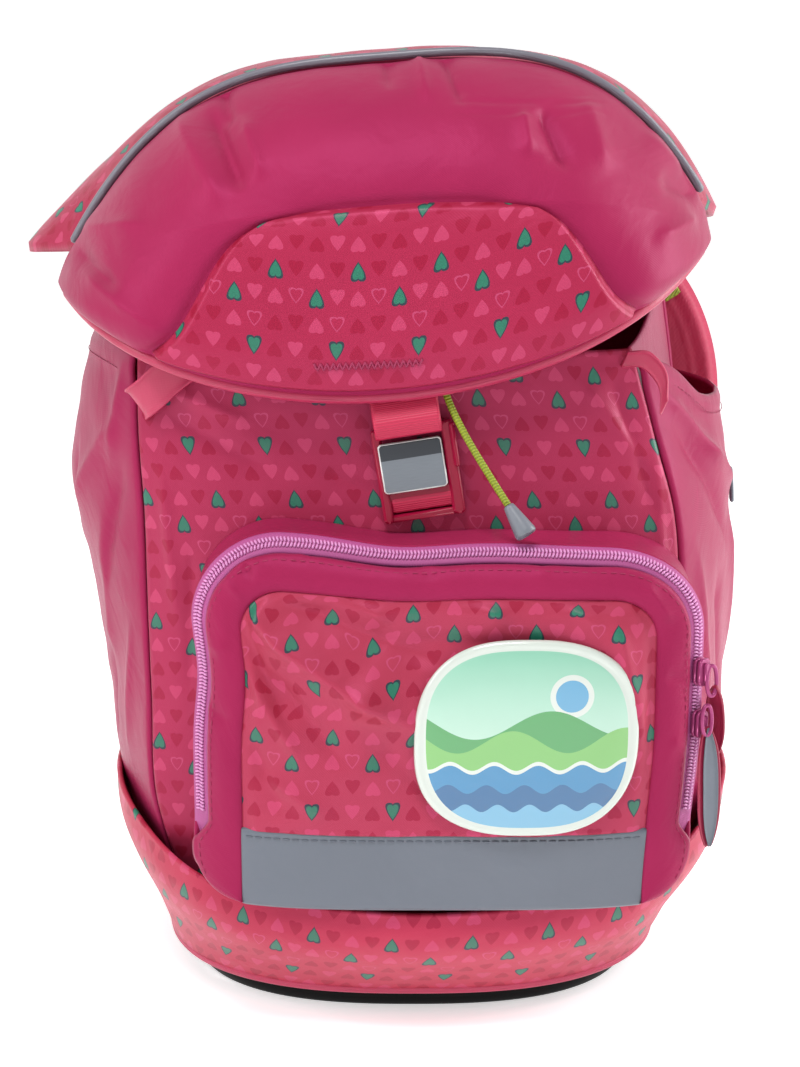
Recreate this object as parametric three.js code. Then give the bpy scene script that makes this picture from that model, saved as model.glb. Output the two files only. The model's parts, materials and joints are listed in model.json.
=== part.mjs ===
// A child's school backpack, standing on its moulded base. Millimetres, +Z up, front toward -Y.
// Cloth parts are thin closed walls: each has an outer surface worked out by a function, and an inner
// surface one thickness inside it. The bag is hollow, and so are its front and side pockets.
import * as THREE from 'three';

// Overall sizes
const BAG_HEIGHT = 350;
const BAG_WIDTH = 250;
const BODY_DEPTH = 150;
const HALF_WIDTH = BAG_WIDTH / 2;

// Cloth, padding and clearances
const CLOTH = 2;
const LID_PADDING = 5;
const INSET_CLOTH = 1.5;
const INSET_GAP = 0.9;
const BACK_PADDING = 9;
const STRAP_PADDING = 9;
const GAP = 0.4;

// Base tray
const TRAY_HEIGHT = 17;
const TRAY_WALL = 4;
const TRAY_FLARE = 2.5;
const BAND_START = 13;
const FOOT_STEPS = 36;

// Front pocket
const POCKET_WIDTH = 176;
const POCKET_HEIGHT = 129;
const POCKET_FOOT = 58;
const POCKET_ASIDE = 13;
const POCKET_DEPTH = 28;
const POCKET_BULGE = 13;
const POCKET_TOP_RADIUS = 32;
const POCKET_FOOT_RADIUS = 16;
const ZIP_WIDTH = 5.5;
const ZIP_CHAMFER = 4;
const ZIP_MARGIN = 1.2;
const ZIP_FOOT = 86;
const RIM_WIDTH = 12.5;
const STRIP_HEIGHT = 26;

// Pipings and the drawcord
const PIPING = 4;
const REFLECTIVE_PIPING = 3.2;
const CORD = 2.5;
const EYELET = { width: 7, height: 5 };
const CAP_LENGTH = 12;
const CAP_RADII = { top: 1.9, foot: 3.9 };

// Buckle and its webbing. Its slot holds the lower webbing, and its bar window lies near its top.
const WEBBING_WIDTH = 22;
const WEBBING = 1.6;
const BUCKLE_WIDTH = 29;
const BUCKLE_HEIGHT = 34;
const BUCKLE_THICKNESS = 4;
const BUCKLE_CORNER = 3;
const BUCKLE_PLACE = { x: 3, z: 205 };
const BUCKLE_TILT = THREE.MathUtils.degToRad(-9);
const SLOT = { width: WEBBING_WIDTH, height: 7, z: 7 - BUCKLE_HEIGHT / 2 };
const BAR_WINDOW = { width: WEBBING_WIDTH + 1, height: 3, z: BUCKLE_HEIGHT / 2 - 4 };
const SLOT_CORNER = 0.6;
const PLATE_WIDTH = 22.5;
const PLATE_HEIGHT = 18;
const PLATE_THICKNESS = 1.6;
const PLATE_SHIFT = { x: -1.5, z: 3 };

// Badge: its rim is domed in from its edge, and its corners are rounder than a box's
const BADGE_PLACE = { x: 40, z: 120 };
const BADGE_WIDTH = 76;
const BADGE_HEIGHT = 70;
const BADGE_THICKNESS = 4;
const BADGE_RIM = 3;
const BADGE_FIELD = 12;
const BADGE_SQUARENESS = 0.75;

// Zip sliders and pullers
const SLIDER = { width: 6, thickness: 3.2, height: 10 };
const SLIDER_HEIGHTS = { upper: 139, lower: 120 };
const PULLER_WIDTH = 7;

// Straps behind
const STRAP_WIDTH = 50;
const HANDLE_WIDTH = 22;
const HANDLE_RISE = 27;

// Turns a table with named columns into one object for each row.
function table(columns, rows) {
  return rows.map((row) => Object.fromEntries(columns.map((name, i) => [name, row[i]])));
}

// The lid, front edge to back seam. Widths are shares of half the width, heights of the whole height,
// and depths of the body's depth. Each section rises by a hump whose roundness is its power.
const LID = table(
  ['at', 'left', 'right', 'leftZ', 'rightZ', 'rise', 'tipY', 'midY', 'powerL', 'powerR', 'wrap'],
  [
    [0.00, -1.055, 0.905, 0.760, 0.806, -0.113, -0.067, -0.560, 2.0, 2.0, 6.0],
    [0.20, -1.050, 0.902, 0.763, 0.809, -0.060, -0.070, -0.575, 2.0, 2.0, 6.0],
    [0.45, -1.042, 0.897, 0.767, 0.813, 0.046, -0.075, -0.540, 2.2, 2.2, 4.5],
    [0.72, -1.030, 0.890, 0.771, 0.820, 0.130, -0.080, -0.410, 2.7, 2.7, 3.2],
    [1.00, -1.010, 0.880, 0.775, 0.826, 0.182, -0.080, -0.165, 3.3, 3.3, 2.2],
    [1.30, -1.190, 0.965, 0.768, 0.800, 0.202, 0.120, 0.110, 2.3, 4.2, 2.2],
    [1.65, -1.130, 0.950, 0.762, 0.785, 0.180, 0.360, 0.360, 2.6, 4.0, 2.2],
    [2.00, -0.950, 0.860, 0.760, 0.765, 0.004, 0.535, 0.535, 4.0, 4.0, 2.2],
  ],
);

// The printed inset on the lid: where its left and right edges run, as shares along the section.
const LID_INSET = table(
  ['at', 'left', 'right'],
  [
    [0.02, 0.175, 0.858],
    [0.18, 0.210, 0.828],
    [0.32, 0.245, 0.796],
    [0.42, 0.280, 0.762],
    [0.47, 0.320, 0.730],
    [0.49, 0.370, 0.690],
  ],
);

// The body's plan at its levels: heights are shares of the whole height, widths of half the width.
const BODY = table(
  ['at', 'half', 'lean', 'noseY', 'seamY', 'leftWide', 'rightWide', 'backHalf', 'backY'],
  [
    [0.055, 0.64, 0.016, -0.430, -0.350, 0.84, 0.86, 0.70, 0.44],
    [0.215, 0.76, 0.016, -0.465, -0.400, 0.93, 0.99, 0.86, 0.50],
    [0.340, 0.77, 0.016, -0.480, -0.400, 0.965, 1.005, 0.90, 0.52],
    [0.430, 0.77, 0.012, -0.485, -0.400, 1.00, 1.01, 0.90, 0.52],
    [0.530, 0.76, 0.000, -0.485, -0.400, 1.055, 1.00, 0.90, 0.52],
    [0.620, 0.73, -0.040, -0.475, -0.400, 1.02, 0.96, 0.88, 0.52],
    [0.715, 0.69, -0.072, -0.465, -0.400, 0.95, 0.91, 0.84, 0.51],
    [0.800, 0.66, -0.072, -0.460, -0.400, 0.90, 0.88, 0.80, 0.50],
  ],
);

// The side pockets' top edges, front seam to back seam, as shares of the walls' height.
const SIDE_RIM = table(
  ['at', 'left', 'right'],
  [
    [0.00, 0.995, 0.990],
    [0.12, 1.000, 0.965],
    [0.30, 1.000, 0.905],
    [0.60, 0.990, 0.890],
    [1.00, 0.960, 0.880],
  ],
);

// The printed band round the foot, from its piping up to its top edge.
const BAND = table(
  ['at', 'half', 'lean', 'front', 'back', 'power'],
  [
    [0.00, 0.755, 0.01, 0.540, 0.450, 2.5],
    [0.25, 0.812, 0.02, 0.610, 0.500, 2.3],
    [0.55, 0.892, 0.03, 0.690, 0.530, 2.1],
    [0.80, 0.940, 0.037, 0.724, 0.545, 1.95],
    [1.00, 0.945, 0.04, 0.722, 0.550, 1.9],
  ],
);

// Smooth value of one column at a place between the rows of a table.
function smooth(rows, at, column) {
  const last = rows.length - 1;
  let i = 0;
  while (i < last - 1 && rows[i + 1].at < at) i += 1;
  const slope = (k) => {
    const a = rows[Math.max(k - 1, 0)];
    const b = rows[Math.min(k + 1, last)];
    return (b[column] - a[column]) / (b.at - a.at);
  };
  const span = rows[i + 1].at - rows[i].at;
  const t = (at - rows[i].at) / span;
  const p = rows[i][column];
  const q = rows[i + 1][column];
  const h = t * t * (3 - 2 * t);
  const g = t * (1 - t);
  return p + (q - p) * h + span * g * ((1 - t) * slope(i) - t * slope(i + 1));
}

const lerp = THREE.MathUtils.lerp;
const bump = (x, middle, width) => Math.exp(-(((x - middle) / width) ** 2));
const ease = (x) => THREE.MathUtils.smoothstep(x, 0, 1);

// Outward unit normal of a surface, from small steps to both sides.
function normalOf(surface, u, v) {
  const step = 2e-3;
  const du = surface(u + step, v).sub(surface(u - step, v));
  const dv = surface(u, v + step).sub(surface(u, v - step));
  return du.cross(dv).normalize();
}

// Makes a geometry from points and triangles, with its faces turned outward.
function solid(points, faces) {
  let volume = 0;
  for (const [a, b, c] of faces) {
    volume += points[a].dot(points[b].clone().cross(points[c]));
  }
  const index = faces.flatMap(([a, b, c]) => (volume > 0 ? [a, b, c] : [a, c, b]));
  const geometry = new THREE.BufferGeometry();
  geometry.setAttribute('position', new THREE.Float32BufferAttribute(points.flatMap((p) => p.toArray()), 3));
  geometry.setIndex(index);
  geometry.computeVertexNormals();
  return geometry;
}

// A closed wall: skins at two depths along the surface's normal, joined at its borders.
// With round, the wall closes on itself in u.
function wall(surface, near, far, columns, rows, round = false) {
  const points = [];
  const faces = [];
  const width = round ? columns : columns + 1;
  const skin = width * (rows + 1);
  for (const depth of [near, far]) {
    for (let j = 0; j <= rows; j += 1) {
      for (let i = 0; i < width; i += 1) {
        const [u, v] = [i / columns, j / rows];
        points.push(surface(u, v).addScaledVector(normalOf(surface, u, v), depth));
      }
    }
  }
  const quad = (a, b, c, d) => faces.push([a, b, c], [a, c, d]);
  const id = (i, j, k) => k * skin + j * width + (i % width);
  for (let j = 0; j < rows; j += 1) {
    for (let i = 0; i < columns; i += 1) {
      quad(id(i, j, 0), id(i + 1, j, 0), id(i + 1, j + 1, 0), id(i, j + 1, 0));
      quad(id(i, j, 1), id(i, j + 1, 1), id(i + 1, j + 1, 1), id(i + 1, j, 1));
    }
  }
  for (let i = 0; i < columns; i += 1) {
    quad(id(i + 1, 0, 0), id(i, 0, 0), id(i, 0, 1), id(i + 1, 0, 1));
    quad(id(i, rows, 0), id(i + 1, rows, 0), id(i + 1, rows, 1), id(i, rows, 1));
  }
  for (let j = 0; !round && j < rows; j += 1) {
    quad(id(0, j, 0), id(0, j + 1, 0), id(0, j + 1, 1), id(0, j, 1));
    quad(id(columns, j + 1, 0), id(columns, j, 0), id(columns, j, 1), id(columns, j + 1, 1));
  }
  return solid(points, faces);
}

// A body lofted through closed rings of equally many points, with a fan on each end ring.
function loft(rings) {
  const points = rings.flat();
  const count = rings[0].length;
  const faces = [];
  for (let k = 0; k + 1 < rings.length; k += 1) {
    for (let i = 0; i < count; i += 1) {
      const j = (i + 1) % count;
      const [a, b] = [k * count, (k + 1) * count];
      faces.push([a + i, a + j, b + j], [a + i, b + j, b + i]);
    }
  }
  const ends = [[0, 1], [(rings.length - 1) * count, -1]];
  for (const [start, side] of ends) {
    const centre = points.length;
    const sum = points.slice(start, start + count).reduce((s, p) => s.add(p), new THREE.Vector3());
    points.push(sum.divideScalar(count));
    for (let i = 0; i < count; i += 1) {
      const j = (i + 1) % count;
      faces.push(side > 0 ? [centre, start + j, start + i] : [centre, start + i, start + j]);
    }
  }
  return solid(points, faces);
}

// A round tube along a path, as an extrusion of a regular polygon.
function tube(path, diameter, sides, steps) {
  const section = new THREE.Shape();
  for (let i = 0; i < sides; i += 1) {
    const angle = (i / sides) * 2 * Math.PI;
    section[i ? 'lineTo' : 'moveTo'](Math.cos(angle) * diameter / 2, Math.sin(angle) * diameter / 2);
  }
  return new THREE.ExtrudeGeometry(section, { steps, extrudePath: path, bevelEnabled: false });
}

// A curve through points worked out at equal steps of a function.
function curve(point, steps) {
  return new THREE.CatmullRomCurve3(Array.from({ length: steps + 1 }, (_, i) => point(i / steps)));
}

const bag = new THREE.Group();

function add(name, geometry, look) {
  const mesh = new THREE.Mesh(geometry, look);
  mesh.name = name;
  bag.add(mesh);
  return mesh;
}

function finish(color, roughness, metalness = 0) {
  return new THREE.MeshStandardMaterial({ color, roughness, metalness });
}

const printed = finish('#DB4868', 0.6);
const nylon = finish('#C43C74', 0.4);
const webbing = finish('#C8305A', 0.7);
const reflective = finish('#868D99', 0.35);
const zipTape = finish('#C060B0', 0.6);
const black = finish('#1C1B1F', 0.55);
const pinkPlastic = finish('#B01848', 0.35);
const greyMetal = finish('#74787F', 0.3, 0.8);
const lime = finish('#B6D22A', 0.7);
const greyPlastic = finish('#9A9CA4', 0.5);
const mint = finish('#CDEBDD', 0.15);

// Lid

// A point of the lid: across runs 0 to 1 from the left tip to the right, along 0 to 2 from the front
// edge over the ridge at 1 to the back seam.
function lidPoint(across, along) {
  const row = (column) => smooth(LID, along, column);
  const side = 2 * across - 1;
  const power = lerp(row('powerL'), row('powerR'), ease(across));
  const hump = 1 - Math.abs(side) ** power;
  const reach = 1 - Math.abs(side) ** row('wrap');
  return new THREE.Vector3(
    HALF_WIDTH * lerp(row('left'), row('right'), across),
    BODY_DEPTH * lerp(row('tipY'), row('midY'), reach),
    BAG_HEIGHT * (lerp(row('leftZ'), row('rightZ'), across) + row('rise') * hump),
  );
}

function makeLid() {
  const seam = 0.012;
  const front = (u, v) => lidPoint(lerp(0.015, 0.985, u), lerp(0, 1 - seam, v));
  const top = (u, v) => lidPoint(lerp(0.015, 0.985, u), lerp(1 + seam, 2, v));
  const inset = (u, v) => {
    const along = lerp(LID_INSET[0].at, LID_INSET.at(-1).at, v);
    return lidPoint(lerp(smooth(LID_INSET, along, 'left'), smooth(LID_INSET, along, 'right'), u), along);
  };
  add('lid_front', wall(front, 0, -LID_PADDING, 24, 9), nylon);
  add('lid_top', wall(top, 0, -LID_PADDING, 22, 7), printed);
  add('lid_inset', wall(inset, INSET_GAP + INSET_CLOTH, INSET_GAP, 14, 7), printed);
  const off = (u, v, distance) => lidPoint(u, v).addScaledVector(normalOf(lidPoint, u, v), distance);
  const ridge = curve((t) => off(lerp(0.017, 0.98, t), 1, REFLECTIVE_PIPING / 2 + GAP), 24);
  add('lid_reflective_piping', tube(ridge, REFLECTIVE_PIPING, 5, 28), reflective);
  const edge = curve((t) => {
    const u = lerp(0.02, 0.98, t);
    const p = off(u, 0, -LID_PADDING / 2);
    const out = lidPoint(u, 0).sub(lidPoint(u, 0.05)).normalize();
    return p.addScaledVector(out, PIPING / 2 + GAP);
  }, 24);
  add('lid_edge_piping', tube(edge, PIPING, 5, 28), webbing);
}

// Body

const WALL_TOP = 0.7 * BAG_HEIGHT;
const SIDE_TOP = 0.735 * BAG_HEIGHT;
const BACK_TOP = 0.75 * BAG_HEIGHT;

// A point of the front panel at a height, across from 0 at the left seam to 1 at the right one.
function frontPoint(across, z) {
  const row = (column) => smooth(BODY, z / BAG_HEIGHT, column);
  const side = 2 * across - 1;
  return new THREE.Vector3(
    HALF_WIDTH * (row('lean') + side * row('half')),
    BODY_DEPTH * lerp(row('seamY'), row('noseY'), 1 - Math.abs(side) ** 4),
    z,
  );
}

// A point of a side wall: toward runs 0 to 1 from the front seam to the back one. The wall starts
// set off from the front seam, and swells by its bulge.
function sidePoint(side, toward, z, outset, bulge) {
  const row = (column) => smooth(BODY, z / BAG_HEIGHT, column);
  const seam = HALF_WIDTH * (side * row('lean') + row('half')) + outset;
  const back = HALF_WIDTH * row('backHalf') + outset;
  const swell = Math.sin(Math.PI * THREE.MathUtils.clamp(toward, 0, 1)) ** 0.85;
  return new THREE.Vector3(
    side * (lerp(seam, back, toward) + bulge * swell),
    lerp(BODY_DEPTH * row('seamY') + CLOTH + 2 * GAP, BODY_DEPTH * row('backY') - CLOTH - GAP, toward),
    z,
  );
}

function sidePocketPoint(side, toward, z) {
  const row = (column) => smooth(BODY, z / BAG_HEIGHT, column);
  const middle = (side * row('lean') + row('half') + row('backHalf')) / 2;
  const wide = side < 0 ? row('leftWide') : row('rightWide');
  return sidePoint(side, toward, z, CLOTH + GAP, HALF_WIDTH * (wide - middle) - CLOTH - GAP);
}

const BAND_TOP = { front: 0.1505 * BAG_HEIGHT, side: 0.215 * BAG_HEIGHT };

// Height of the band's top edge, which dips toward the middle of the front.
function bandTop(angle) {
  const frontness = Math.max(-Math.sin(angle), 0) ** 1.5;
  return lerp(BAND_TOP.side, BAND_TOP.front, ease(frontness * 1.3));
}

// A point of the printed band: angle runs round the plan, with the front at -90 degrees.
function bandPoint(turn, v) {
  const angle = turn * 2 * Math.PI + Math.PI / 2;
  const row = (column) => smooth(BAND, v, column);
  const [c, s] = [Math.cos(angle), Math.sin(angle)];
  const share = 2 / row('power');
  const deep = s < 0 ? row('front') : row('back');
  return new THREE.Vector3(
    HALF_WIDTH * (row('lean') + row('half') * Math.sign(c) * Math.abs(c) ** share),
    BODY_DEPTH * deep * Math.sign(s) * Math.abs(s) ** share,
    lerp(BAND_START, bandTop(angle), v),
  );
}

// A ring parallel to the band's foot, set in toward the middle by a distance.
function footRing(z, inset) {
  return Array.from({ length: FOOT_STEPS }, (_, i) => footPoint(i / FOOT_STEPS, z, inset));
}

function footPoint(turn, z, inset) {
  const step = 2e-3;
  const p = bandPoint(turn, 0);
  const run = bandPoint(turn + step, 0).sub(bandPoint(turn - step, 0)).normalize();
  return new THREE.Vector3(p.x - run.y * inset, p.y + run.x * inset, z);
}

function makeBase() {
  const seat = PIPING + 2.2 * GAP;
  const pipingHeight = BAND_START - CLOTH / 2;
  const edge = 1.5;
  const rings = [
    footRing(0, seat + TRAY_FLARE + edge),
    footRing(edge, seat + TRAY_FLARE),
    footRing(pipingHeight, seat),
    footRing(TRAY_HEIGHT, seat),
    footRing(TRAY_HEIGHT, seat + TRAY_WALL),
    footRing(TRAY_WALL, seat + TRAY_FLARE + TRAY_WALL),
  ];
  add('base_tray', loft(rings), black);
  add('bottom_band', wall(bandPoint, 0, CLOTH, FOOT_STEPS, 5, true), printed);
  const seam = curve((t) => footPoint(lerp(0.002, 0.998, t), pipingHeight, PIPING / 2 + GAP), FOOT_STEPS);
  add('bottom_piping', tube(seam, PIPING, 5, 44), webbing);
}

function makeBody() {
  const foot = 0.055 * BAG_HEIGHT;
  const front = (u, v) => frontPoint(u, lerp(foot, WALL_TOP, v));
  add('front_panel', wall(front, 0, -CLOTH, 12, 10), printed);
  const back = (u, v) => {
    const z = lerp(BAND_TOP.side + GAP, BACK_TOP, v);
    const half = HALF_WIDTH * smooth(BODY, z / BAG_HEIGHT, 'backHalf');
    return new THREE.Vector3((2 * u - 1) * half, BODY_DEPTH * smooth(BODY, z / BAG_HEIGHT, 'backY'), z);
  };
  add('back_panel', wall(back, 0, CLOTH, 4, 6), nylon);
  for (const [name, side] of [['left', -1], ['right', 1]]) {
    const panel = (u, v) => {
      const top = lerp(WALL_TOP, SIDE_TOP, ease(u));
      return sidePoint(side, u, lerp(BAND_TOP.side + GAP, top, v), -GAP, 3);
    };
    add(`side_panel_${name}`, wall(panel, 0, -side * CLOTH, 6, 8), nylon);
    const pocket = (u, v) => {
      const rim = smooth(SIDE_RIM, u, name) * WALL_TOP;
      return sidePocketPoint(side, u, lerp(BAND_TOP.side + GAP, rim, v));
    };
    add(`side_pocket_${name}`, wall(pocket, 0, -side * CLOTH, 10, 10), nylon);
  }
}

// Front pocket

const POCKET_BACK = 0.48 * BODY_DEPTH;
const ZIP_BACK = POCKET_BACK + POCKET_DEPTH - ZIP_WIDTH;

// A point of the pocket's outline. It has nine stretches: half the foot, the left foot corner, the left
// side, the left top corner, the top, and the same on the right. The place is the stretch's number
// plus a share along it. The outline may grow by a distance, and its foot corners may be square.
function pocketOutline(place, grow, square = false) {
  const flip = place > 4.5 ? -1 : 1;
  const run = place > 4.5 ? 9 - place : place;
  const half = POCKET_WIDTH / 2 + grow;
  const low = square ? POCKET_FOOT : POCKET_FOOT - grow;
  const high = POCKET_FOOT + POCKET_HEIGHT + grow;
  const [top, foot] = [POCKET_TOP_RADIUS + grow, POCKET_FOOT_RADIUS + (square ? 0 : grow)];
  const part = Math.min(Math.floor(run), 4);
  const t = run - part;
  const turn = (t * Math.PI) / 2;
  const stretches = [
    () => [lerp(0, foot - half, t), low],
    () => (square
      ? [-half, low + foot * t]
      : [foot - half - foot * Math.sin(turn), low + foot - foot * Math.cos(turn)]),
    () => [-half, lerp(low + foot, high - top, t)],
    () => [top - half - top * Math.cos(turn), high - top + top * Math.sin(turn)],
    () => [lerp(top - half, half - top, t), high],
  ];
  const [x, z] = stretches[part]();
  return sag(flip * x + POCKET_ASIDE, z);
}

function sag(x, z) {
  const height = THREE.MathUtils.clamp((z - POCKET_FOOT) / POCKET_HEIGHT, 0, 1.1);
  const aside = THREE.MathUtils.clamp((x - POCKET_ASIDE) / POCKET_WIDTH, -0.6, 0.6);
  const dip = 0.026 * bump(aside, -0.1, 0.13) + 0.05 * ease(aside + 0.5);
  const give = 0.012 * bump(height, 0.62, 0.12) * ease(-2 * aside) - 0.022 * ease(1 - 2 * height) * ease(2 * aside);
  return new THREE.Vector2(x + POCKET_WIDTH * give, z - POCKET_HEIGHT * dip * height ** 4);
}

// How far forward the pocket's face stands at a place.
function facePoint(x, z) {
  const a = Math.abs(x - POCKET_ASIDE) / (POCKET_WIDTH / 2);
  const b = Math.max((z - POCKET_FOOT) / POCKET_HEIGHT, 0);
  const swell = (1 - Math.min(a, 1) ** 4) * (1 - Math.min(b, 1) ** 7);
  return new THREE.Vector3(x, -(POCKET_BACK + POCKET_DEPTH + GAP + POCKET_BULGE * swell), z);
}

const FACE_INSET = ZIP_CHAMFER + RIM_WIDTH;
const FACE = {
  left: POCKET_ASIDE - POCKET_WIDTH / 2 + FACE_INSET,
  right: POCKET_ASIDE + POCKET_WIDTH / 2 - FACE_INSET,
  top: POCKET_FOOT + POCKET_HEIGHT - FACE_INSET,
};

// How far back the pocket's side wall may reach at a place of the front panel.
function frontAt(x, z) {
  const row = (column) => smooth(BODY, z / BAG_HEIGHT, column);
  const side = THREE.MathUtils.clamp((x / HALF_WIDTH - row('lean')) / row('half'), -1, 1);
  return frontPoint((side + 1) / 2, z).y;
}

function makePocket() {
  const pocketFront = POCKET_BACK + POCKET_DEPTH - GAP;
  const zipped = (z) => ease((z - ZIP_FOOT) / 10 + 1);
  const gusset = (u, v) => {
    const p = pocketOutline(9 * (u - Math.floor(u)), 1.5);
    const front = lerp(pocketFront, ZIP_BACK, zipped(p.y)) - CLOTH;
    return new THREE.Vector3(p.x, lerp(frontAt(p.x, p.y) - 2 * GAP, -front, v), p.y);
  };
  add('pocket_gusset', wall(gusset, 0, CLOTH, 54, 2, true), nylon);
  const side = POCKET_HEIGHT - POCKET_TOP_RADIUS - POCKET_FOOT_RADIUS;
  const start = 2 + (ZIP_FOOT + 3 - POCKET_FOOT - POCKET_FOOT_RADIUS) / side;
  const zip = (u, v) => {
    const p = pocketOutline(lerp(start, 9 - start, u), lerp(ZIP_MARGIN, -ZIP_CHAMFER, v));
    return new THREE.Vector3(p.x, -lerp(ZIP_BACK, pocketFront, v), p.y);
  };
  add('pocket_zip', wall(zip, 0, CLOTH, 36, 1), zipTape);
  const rim = (u, v) => {
    const place = lerp(1, 8, u);
    const margin = lerp(1, -ZIP_CHAMFER - GAP, zipped(pocketOutline(place, 0).y));
    const outer = pocketOutline(place, margin);
    const inner = pocketOutline(place, GAP - FACE_INSET, true);
    return facePoint(lerp(outer.x, inner.x, v), lerp(outer.y, inner.y, v));
  };
  add('pocket_rim', wall(rim, 0, CLOTH, 42, 3), nylon);
  const face = (u, v) => {
    const z = lerp(POCKET_FOOT + STRIP_HEIGHT + GAP, FACE.top, v);
    const radius = POCKET_TOP_RADIUS - FACE_INSET;
    const over = Math.max(z - (FACE.top - radius), 0);
    const cut = radius - Math.sqrt(Math.max(radius ** 2 - over ** 2, 0));
    const p = sag(lerp(FACE.left + cut, FACE.right - cut, u), z);
    return facePoint(p.x, p.y);
  };
  add('pocket_face', wall(face, 0, -CLOTH, 12, 12), printed);
  const strip = (u, v) => {
    const p = sag(lerp(FACE.left, FACE.right, u), lerp(POCKET_FOOT - 1, POCKET_FOOT + STRIP_HEIGHT, v));
    return facePoint(p.x, p.y);
  };
  add('reflective_strip', wall(strip, 0, -CLOTH, 12, 3), reflective);
}

// Closure, in a group turned as the buckle hangs

// A flat plate from an outline in x and z, its back at a depth in y.
function plate(shape, back, thickness) {
  const geometry = new THREE.ExtrudeGeometry(shape, { depth: thickness, bevelEnabled: false, curveSegments: 4 });
  return geometry.rotateX(Math.PI / 2).translate(0, back, 0);
}

function roundedBox(width, height, radius, Form = THREE.Shape) {
  const [w, h] = [width / 2, height / 2];
  const shape = new Form();
  shape.moveTo(-w + radius, -h);
  shape.lineTo(w - radius, -h);
  shape.absarc(w - radius, -h + radius, radius, -Math.PI / 2, 0, false);
  shape.absarc(w - radius, h - radius, radius, 0, Math.PI / 2, false);
  shape.absarc(-w + radius, h - radius, radius, Math.PI / 2, Math.PI, false);
  shape.absarc(-w + radius, -h + radius, radius, Math.PI, 1.5 * Math.PI, false);
  return shape;
}

// A flat band of cloth along a path of points, its width along one direction.
function ribbon(points, across, width, thickness, steps) {
  const path = new THREE.CatmullRomCurve3(points.map((p) => new THREE.Vector3(...p)));
  const direction = new THREE.Vector3(...across).normalize();
  const surface = (u, v) => path.getPoint(THREE.MathUtils.clamp(v, 0, 1))
    .addScaledVector(path.getTangent(THREE.MathUtils.clamp(v, 0, 1)), Math.min(v, 0) + Math.max(v - 1, 0))
    .addScaledVector(direction, (u - 0.5) * width);
  return wall(surface, thickness / 2, -thickness / 2, 1, steps);
}

const PANEL_FRONT = 0.485 * BODY_DEPTH + GAP;

// A point from its place across, its distance in front of the front panel, and its height
const beforePanel = ([x, out, z]) => [x, -PANEL_FRONT - out, z];

// The lid webbing's path, from the lid's edge down over the buckle's top: height above that top, and
// distance in front of the buckle's face.
const LID_WEBBING = table(
  ['rise', 'out'],
  [
    [21, -1],
    [13, 0],
    [8, 2.5],
    [3, 5.5],
    [-2, 5.2],
  ],
);

function makeClosure() {
  const front = PANEL_FRONT + BUCKLE_THICKNESS;
  const outline = roundedBox(BUCKLE_WIDTH, BUCKLE_HEIGHT, BUCKLE_CORNER);
  const hole = (at) => {
    const path = roundedBox(at.width, at.height, SLOT_CORNER, THREE.Path);
    path.curves.forEach((part) => {
      if (part.isLineCurve) {
        part.v1.y += at.z;
        part.v2.y += at.z;
      } else part.aY += at.z;
    });
    path.currentPoint.y += at.z;
    return path;
  };
  outline.holes.push(hole(SLOT), hole(BAR_WINDOW));
  const group = new THREE.Group();
  group.position.set(BUCKLE_PLACE.x, 0, BUCKLE_PLACE.z);
  group.rotation.y = BUCKLE_TILT;
  bag.add(group);
  const put = (name, geometry, look) => group.add(add(name, geometry, look));
  put('buckle_frame', plate(outline, -PANEL_FRONT, BUCKLE_THICKNESS), pinkPlastic);
  const face = plate(roundedBox(PLATE_WIDTH, PLATE_HEIGHT, 1), -front - GAP, PLATE_THICKNESS);
  put('buckle_plate', face.translate(PLATE_SHIFT.x, 0, PLATE_SHIFT.z), greyMetal);
  const low = roundedBox(SLOT.width - 2 * GAP, SLOT.height - 2 * GAP, SLOT_CORNER);
  put('lower_webbing', plate(low, -PANEL_FRONT, BUCKLE_THICKNESS - 1).translate(0, 0, SLOT.z), webbing);
  const loop = LID_WEBBING.map((row) => [-1, -front - row.out, BUCKLE_HEIGHT / 2 + row.rise]);
  put('lid_webbing', ribbon(loop, [1, 0, 0], WEBBING_WIDTH, WEBBING, 10), webbing);
}

// The drawcord's route, chosen along the photographed cord: out of its eyelet, down to its end cap.
// Each row has its place across, its distance in front of the front panel, and its height.
const CORD_ROUTE = [
  [11, 3.05, 240.5],
  [12.2, 3.65, 234],
  [15, 6.35, 227],
  [20.5, 10.85, 217],
  [27.5, 15.35, 206],
  [33.5, 19.35, 197],
].map(beforePanel);

function makeDrawcord() {
  const [start, end] = [CORD_ROUTE[0], CORD_ROUTE.at(-1)];
  const route = new THREE.CatmullRomCurve3(CORD_ROUTE.map((p) => new THREE.Vector3(...p)));
  add('drawcord', tube(route, CORD, 8, 9), lime);
  const back = frontAt(start[0], start[2]) - GAP;
  const eyelet = new THREE.BoxGeometry(EYELET.width, back - start[1] + CORD, EYELET.height);
  eyelet.translate(start[0], (back + start[1] - CORD) / 2, start[2] + EYELET.height / 2 + 2 * GAP);
  add('cord_eyelet', eyelet, webbing);
  const profile = [[0, -CAP_LENGTH], [CAP_RADII.foot, -CAP_LENGTH], [CAP_RADII.top, 0], [0, 0]];
  const cap = new THREE.LatheGeometry(profile.map((p) => new THREE.Vector2(...p)), 12);
  const mesh = add('cord_end_cap', cap, greyPlastic);
  const aim = route.getTangent(1);
  mesh.position.set(...end).addScaledVector(aim, GAP);
  mesh.quaternion.setFromUnitVectors(new THREE.Vector3(0, -1, 0), aim);
}

// Trim of the front: badge, zip sliders with their pullers, webbing loops and a small tab

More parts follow.
